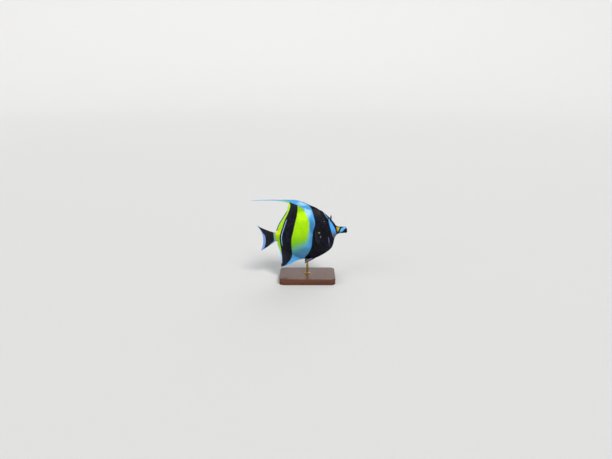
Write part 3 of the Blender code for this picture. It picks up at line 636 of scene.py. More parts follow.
def fin_scales(name, fin, limit, draw):
    """The scaly sheath on the foot of a median fin, on both of its faces, fading out along the rays."""
    size = 0.62
    share = np.linspace(0.004, 0.996, int((fin.first - fin.last) * 1.22 / size))
    row, share = np.meshgrid(np.arange(60), share, indexing="ij")
    reach = (row * size * 0.74 - 0.3) / fin.place(share, 0 * share)[1]
    grows = (reach < limit * (0.9 + 0.1 * np.sin(share * 57))) & (reach < 0.9)
    share = np.clip(share + row % 2 * 0.5 * (share[0, 1] - share[0, 0]), 0, 1)[grows]
    reach = reach[grows]
    out = np.clip(reach, 0, 1)
    flat, length = fin.place(share, out)
    hind, lead = fin.margins(flat)
    half = np.minimum(fin.half(out, length) + 0.10 * (1 - out), MOST_HALF)
    sway = fin.sway(share, out, lead)
    roots = np.concatenate([off_plane(flat, side * half + sway) for side in (LEFT, RIGHT)])
    heading = unit(unit(fin.place(share, out + 0.01)[0] - flat) + (-0.8, 0))
    tailward = np.tile(off_plane(heading, 0 * share), (2, 1))
    outward = np.repeat(((0, LEFT, 0), (0, RIGHT, 0)), len(flat), axis=0)
    axes = (tailward, np.cross(outward, tailward), outward)
    shrink = 1 - 0.45 * np.clip(reach / limit, 0, 1)
    sizes = np.tile(shrink * size, 2) * draw.uniform(0.9, 1.1, len(roots))
    spots = np.stack((share, out * 0.45), axis=-1)
    spots = np.concatenate((spots, spots + (0, 0.5))) * 0.98 + 0.005
    tone = draw.uniform(0, 1, len(roots))
    edges = {"hind": np.tile(hind, 2), "lead": np.tile(lead, 2)}
    return make_scales(name, roots, axes, sizes * 1.2, sizes * 1.1, spots, tone=tone, **edges)


def lathe(profile, segments):
    """Points and faces of a turned shape, from pairs of radius and height with the axis along z."""
    turn = np.linspace(0, 2 * math.pi, segments, endpoint=False)
    radius, height = np.array(profile).T[..., None]
    return tube(np.stack((radius * np.cos(turn), radius * np.sin(turn), height + 0 * turn), axis=-1))


def set_on(points, centre, axis):
    """A turned shape's points with its foot on a place, its axis along a direction and its x axis forward."""
    forward = unit(np.array((1.0, 0, 0)) - axis * axis[0])
    return world(points @ np.array((forward, np.cross(axis, forward), axis)) + centre)


def eye(word, side):
    """A flattened ball with a raised pupil and a ring-shaped hollow for the iris."""
    low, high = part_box("eye_" + word)
    centre = (np.array((low + high) / 2) - ORIGIN) @ TURN / MM
    axis = BODY.axes(BODY.point, *BODY.locate(*EYE), side)[0][2]
    turn = np.linspace(0.02, math.pi - 0.02, 72)
    edge = np.sin(turn) / PUPIL
    lens = 0.16 * ease(0, 0.16, 1.02 - edge) - 0.10 * bump(edge - 1.15, 0.12)
    dome = -np.cos(turn) * EYE_DEPTH + lens * (turn > math.pi / 2)
    points, faces = lathe(np.stack((np.sin(turn) * EYE_RADIUS, dome), axis=-1), 72)
    ring = np.where(points[:, 2] > 0, np.hypot(points[:, 0], points[:, 1]) / EYE_RADIUS, 1.0)
    return build("eyeball_" + word, set_on(points, centre, axis), faces, ring=ring)


def horn(word, side):
    """A blunt, faintly grooved spike that curves up from the forehead, its foot rounded under the skin."""
    lean = unit(np.array(HORN_LEAN) * (1, side, 1))
    centre = BODY.point(*BODY.locate(*HORN_ROOT), side) - lean * HORN_SUNK
    rise = np.linspace(-0.35, 1, 54)
    above = np.maximum(rise, 0)
    flare = 0.5 * np.exp(-above * HORN_LENGTH / 1.3)
    radii = HORN_TIP + (HORN_RADIUS - HORN_TIP) * (1 - above) ** 0.8 + flare
    radii = radii * np.sqrt(1 - np.square(np.minimum(rise, 0) / 0.36))
    cap = np.array((0.4, 0.8, 1.2, 1.5))
    tip = np.stack((HORN_TIP * np.cos(cap), HORN_LENGTH + HORN_TIP * np.sin(cap) * 0.5), axis=-1)
    points, faces = lathe(np.concatenate((np.stack((radii, rise * HORN_LENGTH), axis=-1), tip)), 40)
    turn = np.arctan2(points[:, 1], points[:, 0] + 1e-9)  # so that a hub, on the axis, counts as in front
    tall = points[:, 2] / HORN_LENGTH
    grooves = 0.05 * np.cos(9 * turn) * np.clip(1 - tall, 0, 1) * ease(0.05, 0.35, tall)
    points[:, :2] *= (1 + grooves)[:, None]
    points[:, 0] -= HORN_CURVE * tall ** 2
    edges = {"rise": np.clip(tall, 0, 1), "rear": 0.5 - 0.5 * np.cos(turn)}
    return build("spike_" + word, set_on(points, centre, lean), faces, **edges)


class Tree:
    """Short ways to add nodes to a shader tree. Arguments are numbers, colours or sockets."""

    def __init__(self, tree, material=None):
        self.tree, self.material = tree, material
        tree.nodes.clear()

    def node(self, kind, inputs, **settings):
        """The outputs of a new shader node, with its inputs given by name or number."""
        made = self.tree.nodes.new("ShaderNode" + kind)
        for name, value in settings.items():
            setattr(made, name, value)
        for name, value in inputs.items():
            if isinstance(value, bpy.types.NodeSocket):
                self.tree.links.new(value, made.inputs[name])
            else:
                made.inputs[name].default_value = value
        return made.outputs

    def math(self, operation, *values):
        return self.node("Math", dict(enumerate(values)), operation=operation)[0]

    def line(self, value, slope, start):
        return self.math("MULTIPLY_ADD", value, slope, start)

    def both(self, first, *others):
        """The product of all the values."""
        for other in others:
            first = self.math("MULTIPLY", first, other)
        return first

    def less(self, value):
        """1 minus the value."""
        return self.math("SUBTRACT", 1.0, value)

    def ease(self, value, low, high, start=0.0, end=1.0):
        """A smooth change from start to end while the value goes from low to high."""
        inputs = dict(enumerate((value, low, high, start, end)))
        return self.node("MapRange", inputs, interpolation_type="SMOOTHSTEP")[0]

    def layers(self, colour, *rows, blend="MIX"):
        """A colour with others laid over it, each with one or more shares that say how strongly."""
        for over, *shares in rows:
            inputs = {0: self.both(*shares), 6: colour, 7: over}
            colour = self.node("Mix", inputs, data_type="RGBA", blend_type=blend)[2]
        return colour

    def attribute(self, name):
        return self.node("Attribute", {}, attribute_name=name)["Fac"]

    def noise(self, place, scale, detail=3.0, **more):
        return self.node("TexNoise", {"Vector": place, "Scale": scale, "Detail": detail, **more})["Fac"]

    def stretch(self, place, scales):
        return self.node("Mapping", {"Vector": place, "Scale": scales})[0]

    def curve(self, value, points):
        """A smooth curve through points from 0 to 1."""
        made = self.tree.nodes.new("ShaderNodeFloatCurve")
        line = made.mapping.curves[0]
        line.points[0].location, line.points[1].location = points[0], points[-1]
        for x, y in points[1:-1]:
            line.points.new(x, y)
        made.mapping.update()
        self.tree.links.new(value, made.inputs["Value"])
        return made.outputs[0]

    def markings(self):
        """The fish's colour at this place."""
        return self.node("Group", {}, node_tree=bpy.data.node_groups[MARKINGS])[0]

    def bump(self, height, distance, strength=1.0):
        return self.node("Bump", {"Strength": strength, "Distance": distance * MM, "Height": height})[0]

    def surface(self, colour, roughness, **more):
        """The material, with a Principled shader on its output. Numbers go on the shader's own sockets."""
        inputs = {title.replace("_", " "): value for title, value in more.items()}
        shader = self.node("BsdfPrincipled", {"Base Color": colour, "Roughness": roughness, **inputs})[0]
        self.node("OutputMaterial", {"Surface": shader})
        return self.material


def tint(red, green, blue):
    """A shader colour from 0 to 255 screen values."""
    shares = (value / 255 for value in (red, green, blue))
    return (*(s / 12.92 if s <= 0.04045 else ((s + 0.055) / 1.055) ** 2.4 for s in shares), 1.0)


SKY, SKY_PALE, SKY_BRIGHT = tint(80, 164, 228), tint(158, 210, 246), tint(78, 166, 244)
SKY_DEEP, SKY_DULL, SKY_GREY = tint(56, 122, 178), tint(72, 122, 152), tint(84, 106, 126)
CYAN, VIOLET, TEAL = tint(80, 196, 226), tint(104, 120, 232), tint(95, 155, 175)
LIME, LIME_HIGHLIGHT, LIME_DEEP = tint(160, 218, 0), tint(190, 242, 0), tint(106, 178, 20)
LIME_SOFT, YELLOW, OCHRE = tint(176, 224, 30), tint(206, 216, 0), tint(162, 156, 4)
AMBER, LEAF = tint(184, 156, 0), tint(84, 120, 10)
INK, NAVY, MAROON, MOSS = tint(3, 4, 10), tint(28, 34, 64), tint(54, 22, 38), tint(14, 38, 38)
OLIVE, UMBER, GREY = tint(146, 138, 60), tint(64, 48, 44), tint(132, 132, 150)
PALE, LILAC, WHITE = tint(146, 184, 236), tint(128, 142, 208), (1, 1, 1, 1)
MARKINGS = "idol_markings"

# Edges of the markings as z, x pairs in the fish's frame. Each runs from belly to back.
REAR_BAND_REAR = (
    (-66, -5.4), (-60, 1.1), (-55.8, 5.6), (-49.1, 7.8), (-40.1, 8.7), (-32.4, 9.4), (-24.4, 9.6),
    (-17.8, 9.1), (-12, 8.9), (0, 9.8), (10, 13), (18.5, 16.6), (23.5, 18.4), (29.2, 20.9), (34.7, 23.5),
    (40.3, 26.7), (45.8, 30), (51.4, 32.8), (57, 35.2), (62.7, 36.4), (66.2, 35.6), (70.2, 31.6),
    (74, 24.6), (80, 18.6),
)
REAR_BAND_FRONT = (
    (-66, 5.7), (-64.5, 6.7), (-61.2, 14.9), (-56.2, 20.8), (-50, 26.5), (-44, 29.6), (-37.1, 31.1),
    (-22.6, 31.5), (-8.2, 32.7), (3.2, 36.2), (12.2, 39), (21.4, 41.8), (30.3, 44.6), (39.3, 47.4),
    (44.5, 48.4), (53, 50.2), (80, 50.2),
)
LIME_FRONT = (
    (-66, 20), (-34, 44), (-29, 54), (-25, 60), (-18, 64), (-10, 66.5), (-3.7, 67.5), (12.6, 70.2),
    (29.2, 70.4), (42, 65.9), (52.7, 61.5), (58, 55), (62, 47), (80, 30),
)
FRONT_BAND_REAR = (
    (-66, 47), (-52.6, 53.6), (-47.6, 56.1), (-38, 64.9), (-27, 70.5), (-12.8, 73.8), (3.6, 76.6),
    (19.8, 82), (34.4, 80.7), (49.2, 77.9), (58.5, 73.8), (80, 65),
)
FACE_STRIPE_REAR = (
    (-66, 124), (-14, 117.5), (-12.3, 116.9), (-7.5, 114.6), (-0.5, 113.4), (6.5, 112.2), (13.6, 110.8),
    (20.6, 109.8), (25.2, 109.6), (30, 110.8), (35, 113.8), (80, 130),
)
FACE_STRIPE_FRONT = (
    (-66, 128), (-20, 124.6), (-2, 122.8), (2.1, 122.2), (7.4, 120.7), (12.2, 118.8), (17.1, 116.4),
    (21.9, 114.1), (25.6, 112.9), (30, 112.2), (35, 114.2), (80, 131),
)
SADDLE_REAR = ((-66, 126), (-1, 125.2), (0.9, 124.8), (5.5, 124.1), (10.8, 123.6), (13, 123), (80, 120))
SADDLE_FRONT = (
    (-66, 120), (-2, 125), (-0.7, 126.2), (0.6, 127.1), (5, 129.3), (8, 130.4), (9.5, 131.1), (12, 131.6),
    (80, 140),
)
SNOUT_BLUE_REAR = (
    (-66, 120), (-3.5, 128.8), (0.4, 130.3), (3.7, 131.7), (6.3, 133.9), (8.3, 137), (9.6, 141), (80, 150),
)
SNOUT_BLUE_FRONT = (
    (-66, 120), (-4.5, 131), (-2.5, 132), (-0.9, 133.6), (0.4, 136), (1.8, 137.8), (4.3, 139.9),
    (6.9, 143.1), (9, 145), (80, 149),
)
TAIL_RIM = (
    (-30, 3.4), (-27, 3.5), (-18, 5), (-5, 5.6), (4, 5), (10, 2.7), (17, 1.8), (22, 0.6), (27, 0), (30, 0),
)
EDGE_Z, EDGE_Z_SPAN, EDGE_X, EDGE_X_SPAN = -70, 155, -50, 200  # the edges' least z and x, and spans
LEAN = math.tan(CAMERA_RISE)  # how far the markings rise per mm of the flank's breadth


def fish_place(t):
    """Sockets for x and z in the fish's frame, in mm, and the place as a vector.

    This z lies lower by the lean, so that it is the z of the markings' own table.
    """
    inputs = {"Location": ORIGIN, "Rotation": (0, -PITCH, 0), "Scale": (MM, MM, MM)}
    inputs["Vector"] = t.node("TexCoord", {})["Object"]
    place = t.node("Mapping", inputs, vector_type="TEXTURE")[0]
    x, y, z = t.node("SeparateXYZ", {0: place})
    return x, t.line(t.math("ABSOLUTE", y), -LEAN, z), place


class Markings(Tree):
    """The shader tree of the fish's colours, with edges, spots and strokes set out in the fish's frame."""

    def __init__(self, tree):
        super().__init__(tree)
        self.x, self.z, self.place = fish_place(self)
        self.waver = self.line(self.noise(self.place, 0.45, 2.0), 1.6, -0.8)
        self.raised = self.line(self.z, 1 / EDGE_Z_SPAN, -EDGE_Z / EDGE_Z_SPAN)
        self.gap = self.line(self.attribute("hind"), -EDGE_REACH, EDGE_REACH)  # mm from a fin's hind edge
        self.ink = self.ink_with_sheen()

    def upright(self, scale, detail=3.0):
        """Noise drawn out up and down."""
        return self.noise(self.stretch(self.place, (0.8, 0.8, 0.10)), scale, detail)

    def ink_with_sheen(self):
        """Black with fine upright streaks of navy, maroon and dark green, which paint a sheen on the scales.
        """
        streaks = self.upright(0.6, 4.0)
        # The coloured streaks are painted sheen.
        return self.layers(
            INK,
            (NAVY, self.ease(streaks, 0.50, 0.68, 0, 0.6)),
            (MAROON, self.ease(streaks, 0.46, 0.32, 0, 0.4)),
            (MOSS, self.ease(self.upright(0.4), 0.54, 0.70, 0, 0.4)),
        )

    def edge(self, points):
        """The x of an edge at this z, in mm, wavering a little."""
        scaled = [((z - EDGE_Z) / EDGE_Z_SPAN, (x - EDGE_X) / EDGE_X_SPAN) for z, x in points]
        return self.math("ADD", self.line(self.curve(self.raised, scaled), EDGE_X_SPAN, EDGE_X), self.waver)

    def ahead(self, edge, soft, shift=0.0):
        """1 ahead of an edge, 0 behind it."""
        return self.ease(self.math("SUBTRACT", self.x, edge), shift - soft, shift + soft)

    def behind(self, edge, soft, shift=0.0):
        return self.less(self.ahead(edge, soft, shift))

    def between(self, edge, start, end, soft):
        return self.both(self.ahead(edge, soft, start), self.behind(edge, soft, end))

    def above(self, low, high):
        """0 below low, 1 above high, by z."""
        return self.ease(self.z, low, high)

    def below(self, low, high):
        return self.less(self.above(low, high))

    def band(self, low, full, fading, gone):
        return self.both(self.above(low, full), self.below(fading, gone))

    def slant(self, x, slope):
        """z plus a slope times the distance ahead of x, for edges that slope down to the front."""
        return self.math("MULTIPLY_ADD", self.math("SUBTRACT", self.x, x), slope, self.z)

    def spot(self, x, z, wide, tall):
        """1 at a place, fading to 0 at an ellipse round it."""
        a, b = self.line(self.x, 1 / wide, -x / wide), self.line(self.z, 1 / tall, -z / tall)
        away = self.math("SQRT", self.math("MULTIPLY_ADD", a, a, self.both(b, b)))
        return self.ease(away, 0.35, 1.0, 1.0, 0.0)

    def stroke(self, start, end, width):
        """1 on a straight stroke up from start to end, for strokes that run mostly up and down."""
        slope = (end[0] - start[0]) / (end[1] - start[1])
        centre = self.line(self.z, slope, start[0] - slope * start[1])
        off = self.math("ABSOLUTE", self.math("SUBTRACT", self.x, centre))
        ends = self.band(start[1] - 2, start[1] + 5, end[1] - 5, end[1] + 2)
        return self.both(self.ease(off, width * 0.1, width * 0.9, 1.0, 0.0), ends)


def rear_colours(m):
    """A lime strip, yellow on top of the tail's root, a teal line, the tail fin's black and the rear band."""
    rear_edge = m.edge(REAR_BAND_REAR)
    return m.layers(
        LIME,
        (LIME_DEEP, m.spot(6, 0, 12, 16), 0.6),
        (YELLOW, m.spot(6, 8, 11, 7), 0.9),
        (LIME_SOFT, m.above(16, 24), 0.7),
        (LIME_DEEP, m.below(-20, -8), 0.5),
        (OCHRE, m.between(rear_edge, -1.0, 1.6, 0.9), m.band(-11, -5, 7, 14), 0.6),
        (OCHRE, m.behind(1.6, 0.9), 0.8),
        (TEAL, m.behind(-0.1, 0.5)),
        (m.ink, m.behind(-2.6, 0.6)),
        (m.ink, m.ahead(rear_edge, 0.5)),
        (PALE, m.between(rear_edge, 3.0, 4.4, 0.7), m.band(-23, -14, 30, 36)),
    )


def middle_colours(m, streaks):
    """Lime behind and above, sky blue in front and below, each with a pale spot high on the flank that is a
    painted highlight.
    """
    sky = m.layers(
        SKY,
        # The pale spot high on the flank is a painted highlight.
        (SKY_PALE, m.spot(69, 46, 11, 17)),
        (SKY_DEEP, m.spot(75, 15, 9, 21), 0.95),
        (SKY_DULL, m.spot(52, -37, 34, 17), 0.85),
    )
    lime = m.layers(
        LIME,
        (LIME_DEEP, m.below(-26, 8)),
        # A paler lime spot on the upper flank, a painted highlight.
        (LIME_HIGHLIGHT, m.spot(58, 39, 16, 19)),
        (LIME_DEEP, m.above(40, 52), m.ease(streaks, 0.35, 0.65, 0.1, 0.8)),
        (LIME_DEEP, m.ease(m.noise(m.place, 0.12, 4.0), 0.45, 0.7), 0.25),
    )
    soft = m.ease(m.z, 0.0, 10.0, 5.5, 2.2)
    beyond = m.ease(m.math("SUBTRACT", m.x, m.edge(LIME_FRONT)), m.both(soft, -1.0), soft)
    return m.layers(sky, (lime, m.less(beyond), m.ease(m.slant(36.7, -0.35), -44.0, -16.0)))


def face_colours(m, colour):
    """Blue stripe, black line, yellow saddle, blue patch and black mouth."""
    stripe = m.layers(SKY_GREY, (SKY_BRIGHT, m.above(-8, 8)), (SKY, m.above(15, 24)))
    saddle = m.layers(LEAF, (AMBER, m.above(-1, 6)), (OLIVE, m.above(7.0, 9.0), 0.7))
    patch = m.layers(
        SKY_BRIGHT,
        (VIOLET, m.spot(131, -2.5, 4.5, 5), 0.7),
        (CYAN, m.spot(134, 4, 4, 4.5), 0.7),
        (SKY_PALE, m.spot(141, 8.5, 4, 3)),
    )
    return m.layers(
        colour,
        (stripe, m.ahead(m.edge(FACE_STRIPE_REAR), 0.6), m.below(26.0, 28.0)),
        (m.ink, m.ahead(m.edge(FACE_STRIPE_FRONT), 0.5)),
        (saddle, m.ahead(m.edge(SADDLE_REAR), 0.5), m.behind(m.edge(SADDLE_FRONT), 0.7), m.above(-2.4, -1.0)),
        (patch, m.ahead(m.edge(SNOUT_BLUE_REAR), 0.4), m.behind(m.edge(SNOUT_BLUE_FRONT), 0.5)),
        (m.ink, m.ease(m.slant(127.0, 0.12), 9.2, 10.2), m.ahead(120.5, 1.5)),
        *((INK, m.spot(x, z - 2.5, 1.0, 1.0), 0.9) for x, z in NOSTRILS),
    )


def edge_colours(m, colour):
    """A dark line in a pale rim and a dark leading edge on the back fin, a broad pale rim on the anal fin."""
    anal_rim = m.math("SUBTRACT", m.gap, m.ease(m.z, -22.0, -36.0, 1.4, 2.6))
    return m.layers(
        colour,
        (INK, m.ease(m.gap, 2.6, 1.9), m.band(9, 14, 46, 54)),
        (PALE, m.ease(m.gap, 1.2, 0.6), m.band(10, 20, 46, 54)),
        (LILAC, m.ease(m.gap, 0.8, 0.2, 0.0, 0.6), m.above(46, 54)),
        (INK, m.ease(m.attribute("lead"), 0.87, 0.93), m.ahead(59, 4), m.behind(79, 4), m.above(50, 54)),
        (PALE, m.ease(anal_rim, 0.0, -0.8), m.below(-14, -10), m.ahead(1.0, 1.5), m.above(-57.5, -55.0)),
    )


def markings_group():
    """The node group that gives the colour of any place on the fish, built up from tail to snout."""
    group = bpy.data.node_groups.new(MARKINGS, "ShaderNodeTree")
    group.interface.new_socket("Color", in_out="OUTPUT", socket_type="NodeSocketColor")
    m = Markings(group)
    streaks = m.upright(0.9)
    top_edge = m.math("ADD", m.slant(36.0, 0.52), m.line(streaks, 5.0, -2.5))
    nape = m.ease(m.upright(2.0), 0.4, 0.6)
    colour = m.layers(
        rear_colours(m),
        (middle_colours(m, streaks), m.ahead(m.edge(REAR_BAND_FRONT), 0.7)),
        (m.layers(SKY, (SKY_PALE, m.spot(63, 64, 17, 7))), m.ease(top_edge, 67.2, 69.8)),
        (m.ink, m.ahead(m.edge(FRONT_BAND_REAR), 0.9)),
        (NAVY, m.stroke((108.6, 28.0), (98.5, 46.0), 3.2), nape),
        # A pale line along the nape: partly a real pale line at the black band's front, partly a painted
        # highlight along the nape's ridge.
        (PALE, m.stroke((109.6, 27.0), (99.8, 44.2), 1.4), 0.85),
        (LILAC, m.stroke((107.2, -31.0), (106.6, -9.1), 1.3), m.ease(m.z, -24.0, -17.0, 0.22, 0.6)),
        (UMBER, m.spot(84.5, -1.5, 5.5, 5.5), 0.8),
        # The olive spot and the grey spot at the pectoral fin's root are painted highlights of the fin's
        # base.
        (OLIVE, m.spot(88.0, 0.6, 3.6, 2.6), 0.9),
        (GREY, m.spot(90.8, -7.7, 2.0, 3.0), 0.8),
    )
    colour = edge_colours(m, face_colours(m, colour))
    colour = m.layers(colour, (NAVY, m.ease(m.noise(m.place, 1.6, 4.0), 0.52, 0.74, 0.0, 0.12)))
    group.links.new(colour, group.nodes.new("NodeGroupOutput").inputs[0])


def new_material(name):
    material = bpy.data.materials.new(name)
    material.use_nodes = True
    return Tree(material.node_tree, material)


MATT = {"Specular_IOR_Level": 0.12, "Coat_Weight": 0.03, "Coat_Roughness": 0.2}


def skin_material():
    t = new_material("fish_skin")
    fine = t.noise(fish_place(t)[2], 5.0, 5.0)
    return t.surface(t.markings(), t.ease(fine, 0.3, 0.7, 0.36, 0.52), Normal=t.bump(fine, 0.05), **MATT)


def scale_material():
    t = new_material("fish_scales")
    tone = t.attribute("tone")
    inputs = {0: t.markings(), "Scale": t.ease(tone, 0.0, 1.0, 0.90, 1.08)}
    colour = t.node("VectorMath", inputs, operation="SCALE")[0]
    return t.surface(colour, t.ease(tone, 0, 1, 0.36, 0.46), **MATT)


def fin_material(name, strokes):
    """The markings with a fin's own strokes over them, and with joints across the rays."""
    t = new_material(name)
    x, z, place = fish_place(t)
    ray, reach = t.attribute("ray"), t.attribute("reach")
    joints = t.ease(t.math("SINE", t.both(reach, 230.0)), -0.6, 0.9)
    height = t.both(joints, ray, t.ease(reach, 0.2, 0.4), 0.5)
    fine = t.noise(place, 4.0, 4.0)
    normal = t.bump(t.line(fine, 0.6, height), 0.06)
    return t.surface(strokes(t, x, z, ray, reach), t.ease(fine, 0.3, 0.7, 0.38, 0.54), Normal=normal, **MATT)


def median_strokes(t, x, z, ray, reach):
    """Paler rays and darker membranes."""
    colour = t.layers(t.markings(), (WHITE, ray, 0.20), blend="OVERLAY")
    colour = t.layers(colour, (WHITE, ray, 0.025), blend="SCREEN")
    return t.layers(colour, (NAVY, t.less(ray), t.ease(reach, 0.15, 0.6, 0.0, 0.08)))


def tail_strokes(t, x, z, ray, reach):
    """Black with a pale hind rim that thins out towards the upper tip, and a pale streak under the root."""
    low, high = TAIL_RIM[0][0], TAIL_RIM[-1][0]
    wide = [((level - low) / (high - low), width / EDGE_REACH) for level, width in TAIL_RIM]
    wide = t.curve(t.line(z, 1 / (high - low), -low / (high - low)), wide)
    inside = t.line(t.math("ADD", wide, t.attribute("hind")), EDGE_REACH, -EDGE_REACH)
    rim = t.layers(tint(92, 158, 220), (tint(136, 146, 208), t.ease(inside, 1.4, 3.2)))
    off = t.math("ABSOLUTE", t.math("ADD", t.line(x, -0.72, z), 7.4))
    streak = (PALE, t.ease(off, 1.5, 0.5, 0.0, 0.8), t.ease(x, -17.0, -9.0))
    black = t.layers(t.markings(), (WHITE, ray, 0.022), blend="SCREEN")
    return t.layers(black, (rim, t.ease(inside, 0.1, 1.1)), streak)


def pectoral_strokes(t, x, z, ray, reach):
    """Dusky, with paler rays."""
    web = tint(22, 24, 34), t.ease(reach, 0.0, 0.35)
    return t.layers(tint(12, 13, 20), web, (tint(40, 42, 54), ray, 0.7))


def pelvic_strokes(t, x, z, ray, reach):
    """Black with two pale streaks."""
    lead = t.attribute("lead")
    wave = t.ease(t.math("SINE", t.line(lead, 16.0, -2.4)), 0.25, 0.8)
    fades = t.ease(lead, 0.85, 0.78), t.ease(reach, 0.20, 0.40), t.ease(reach, 1.0, 0.8, 0.2, 0.85)
    return t.layers(INK, (tint(184, 186, 226), wave, *fades))


def streamer_strokes(t, x, z, ray, reach):
    """Lime under a line close to the fin, blue above it and further back."""
    lines = []
    for start, end in zip(STREAMER_LIME, STREAMER_LIME[1:]):
        slope = (end[1] - start[1]) / (end[0] - start[0])
        lines.append(t.line(x, slope, start[1] - slope * start[0]))
    off = t.math("SUBTRACT", z, t.math("MINIMUM", *lines))
    blue = t.layers(tint(120, 172, 224), (tint(88, 162, 224), t.ease(x, 0.0, 36.0)))
    return t.layers(blue, (LIME, t.ease(off, 0.4, -0.4), t.ease(x, 13.0, 17.0)))


def eye_material():
    t = new_material("fish_eye")
    ring = t.attribute("ring")
    streak = t.noise(fish_place(t)[2], 2.2, 5.0, Distortion=1.2)
    gold = t.ease(ring, PUPIL + 0.01, PUPIL + 0.03), t.ease(ring, PUPIL + 0.10, PUPIL + 0.05)
    colour = t.layers(
        tint(10, 9, 10),
        (tint(34, 24, 19), t.ease(streak, 0.35, 0.7)),
        (tint(10, 10, 14), t.ease(ring, 0.62, 0.88)),
        (tint(70, 54, 34), *gold),
        (tint(3, 3, 5), t.ease(ring, PUPIL + 0.02, PUPIL)),
    )
    return t.surface(colour, 0.18, Specular_IOR_Level=0.06, Coat_Weight=0.30, Coat_Roughness=0.03)


def horn_material():
    t = new_material("fish_horn")
    fine, rise = t.noise(fish_place(t)[2], 2.5, 4.0), t.attribute("rise")
    colour = t.layers(
        tint(6, 10, 20),
        (tint(10, 26, 50), t.ease(rise, 0.2, 1.0)),
        # Paler flecks by noise, painted highlights.
        (tint(34, 44, 64), t.ease(fine, 0.45, 0.7, 0.0, 0.3)),
        # A pale streak down the horn's rear side, a painted highlight.
        (PALE, t.ease(t.attribute("rear"), 0.86, 0.96), t.ease(rise, 0.15, 0.30), 0.85),
    )
    return t.surface(colour, 0.42, Normal=t.bump(fine, 0.08), **MATT)


def wood_material():
    """Dark stained hardwood: stretched pores and rings along the base's length, under satin varnish."""
    t = new_material("stand_wood")
    place = t.stretch(t.node("TexCoord", {})["Object"], (14, 150, 150))
    inputs = {"Vector": place, "Scale": 0.35, "Distortion": 7.0, "Detail": 3.0}
    rings = t.node("TexWave", inputs, wave_type="BANDS", bands_direction="Y")["Fac"]
    pores = t.noise(place, 9.0, 4.0)
    colour = t.layers(
        tint(58, 30, 18),
        (tint(100, 56, 32), rings),
        (tint(84, 46, 28), t.ease(t.noise(place, 0.35), 0.35, 0.7)),
        (tint(36, 20, 14), t.ease(pores, 0.55, 0.72, 0.0, 0.65)),
    )
    varnish = {"Specular_IOR_Level": 0.3, "Coat_Weight": 0.2, "Coat_Roughness": 0.15}
    return t.surface(colour, t.ease(pores, 0.3, 0.7, 0.30, 0.44), Normal=t.bump(pores, 0.10, 0.5), **varnish)


def brass_material():
    t = new_material("stand_brass")
    place = t.node("TexCoord", {})["Object"]
    brushed = t.noise(t.stretch(place, (400, 400, 6000)), 1.0)
    colour = t.layers(tint(196, 158, 86), (tint(166, 124, 62), t.ease(t.noise(place, 90.0), 0.35, 0.7)))
    roughness = t.ease(brushed, 0.3, 0.7, 0.20, 0.36)
    return t.surface(colour, roughness, Normal=t.bump(brushed, 0.01, 0.4), Metallic=1.0)


def rounded_outline(half_x, half_y, radius, steps=14):
    """The corners of a rounded rectangle, going round once."""
    turn = math.pi / 2 * (np.arange(4)[:, None] + np.linspace(0, 1, steps + 1))
    corners = np.array(((1, 1), (-1, 1), (-1, -1), (1, -1))) * (half_x - radius, half_y - radius)
    return (corners[:, None] + radius * np.stack((np.cos(turn), np.sin(turn)), axis=-1)).reshape(-1, 2)


def quarter(count):
    """Pairs from 0, 0 to 1, 1 along a quarter circle that starts upward."""
    turn = np.linspace(0, math.pi / 2, count)
    return np.stack((1 - np.cos(turn), np.sin(turn)), axis=-1)


def sharp(obj):
    """The object with its edges sharp where faces meet at more than 40 degrees."""
    obj.data.set_sharp_from_angle(angle=math.radians(40))
    return obj


def stand_base(name):
    """The base as a block with a rounded rim and a shallow step round its foot."""
    low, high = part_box("stand_base")
    centre, half, tall = (low + high) / 2, (high - low) / 2, (high - low).z
    bevel, corner = 1.5 * MM, 10 * MM
    foot = ((0.6, 0), (0, 0.6), (0, 2.6), (0.5, 2.9), (0.5, 3.3), (0, 3.6))  # mm inward and up
    rim = quarter(9) * bevel + (0, tall - bevel)
    rings = []
    for inward, height in np.concatenate((np.array(foot) * MM, rim)):
        line = rounded_outline(half.x - inward, half.y - inward, corner - inward)
        rings.append(np.column_stack((line + centre.xy, np.full(len(line), low.z + height))))
    return sharp(build(name, *tube(np.array(rings), flat_ends=True)))


def stand_rod(name):
    """The rod with a small turned collar where it leaves the base."""
    low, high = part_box("stand_rod")
    radius, top = (high.x - low.x) / 2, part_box("stand_base")[1].z
    # The collar's breadths as shares of the rod's, and its heights in mm
    collar = (2.6, 0.02), (2.6, 0.9), (2.3, 1.3), (2.3, 1.7), (1.6, 2.0), (1.55, 2.5), (1.25, 2.9), (1.0, 3.1)
    profile = [(radius * 0.96, low.z), (radius, low.z + 0.2 * MM), (radius, top)]
    profile += [(radius * wide, top + rise * MM) for wide, rise in collar]
    profile += [(radius, high.z - 0.3 * MM), (radius * 0.85, high.z)]
    points, faces = lathe(profile, 64)
    points[:, :2] += ((low + high) / 2).xy
    return sharp(build(name, points, faces))


def stage_floor():
    """A pale floor that sweeps up into a round wall far away, so that no view shows its edge."""
    flat, wall, height = 4.0, 7.0, 3.2
    sweep = quarter(24)[:, ::-1] * (wall - flat, height) + (flat, 0)
    points, faces = lathe([(0.02, 0), (1, 0), (2.5, 0), *sweep], 96)
    open_top = [face for face in faces if max(face) < len(points) - 1]
    floor = sharp(build("floor", points, open_top))
    floor.data.materials.append(new_material("plain_floor").surface(tint(216, 216, 215), 0.85))
    floor.visible_shadow = False  # the suns stand outside its wall


def sun(name, origin, spread, strength, colour):
    """Even light from one direction, as wide as a softbox."""
    lamp = bpy.data.lights.new(name, "SUN")
    lamp.angle, lamp.energy, lamp.color = math.radians(spread), strength, colour
    link(name, lamp).rotation_euler = Vector(origin).to_track_quat("Z", "Y").to_euler()


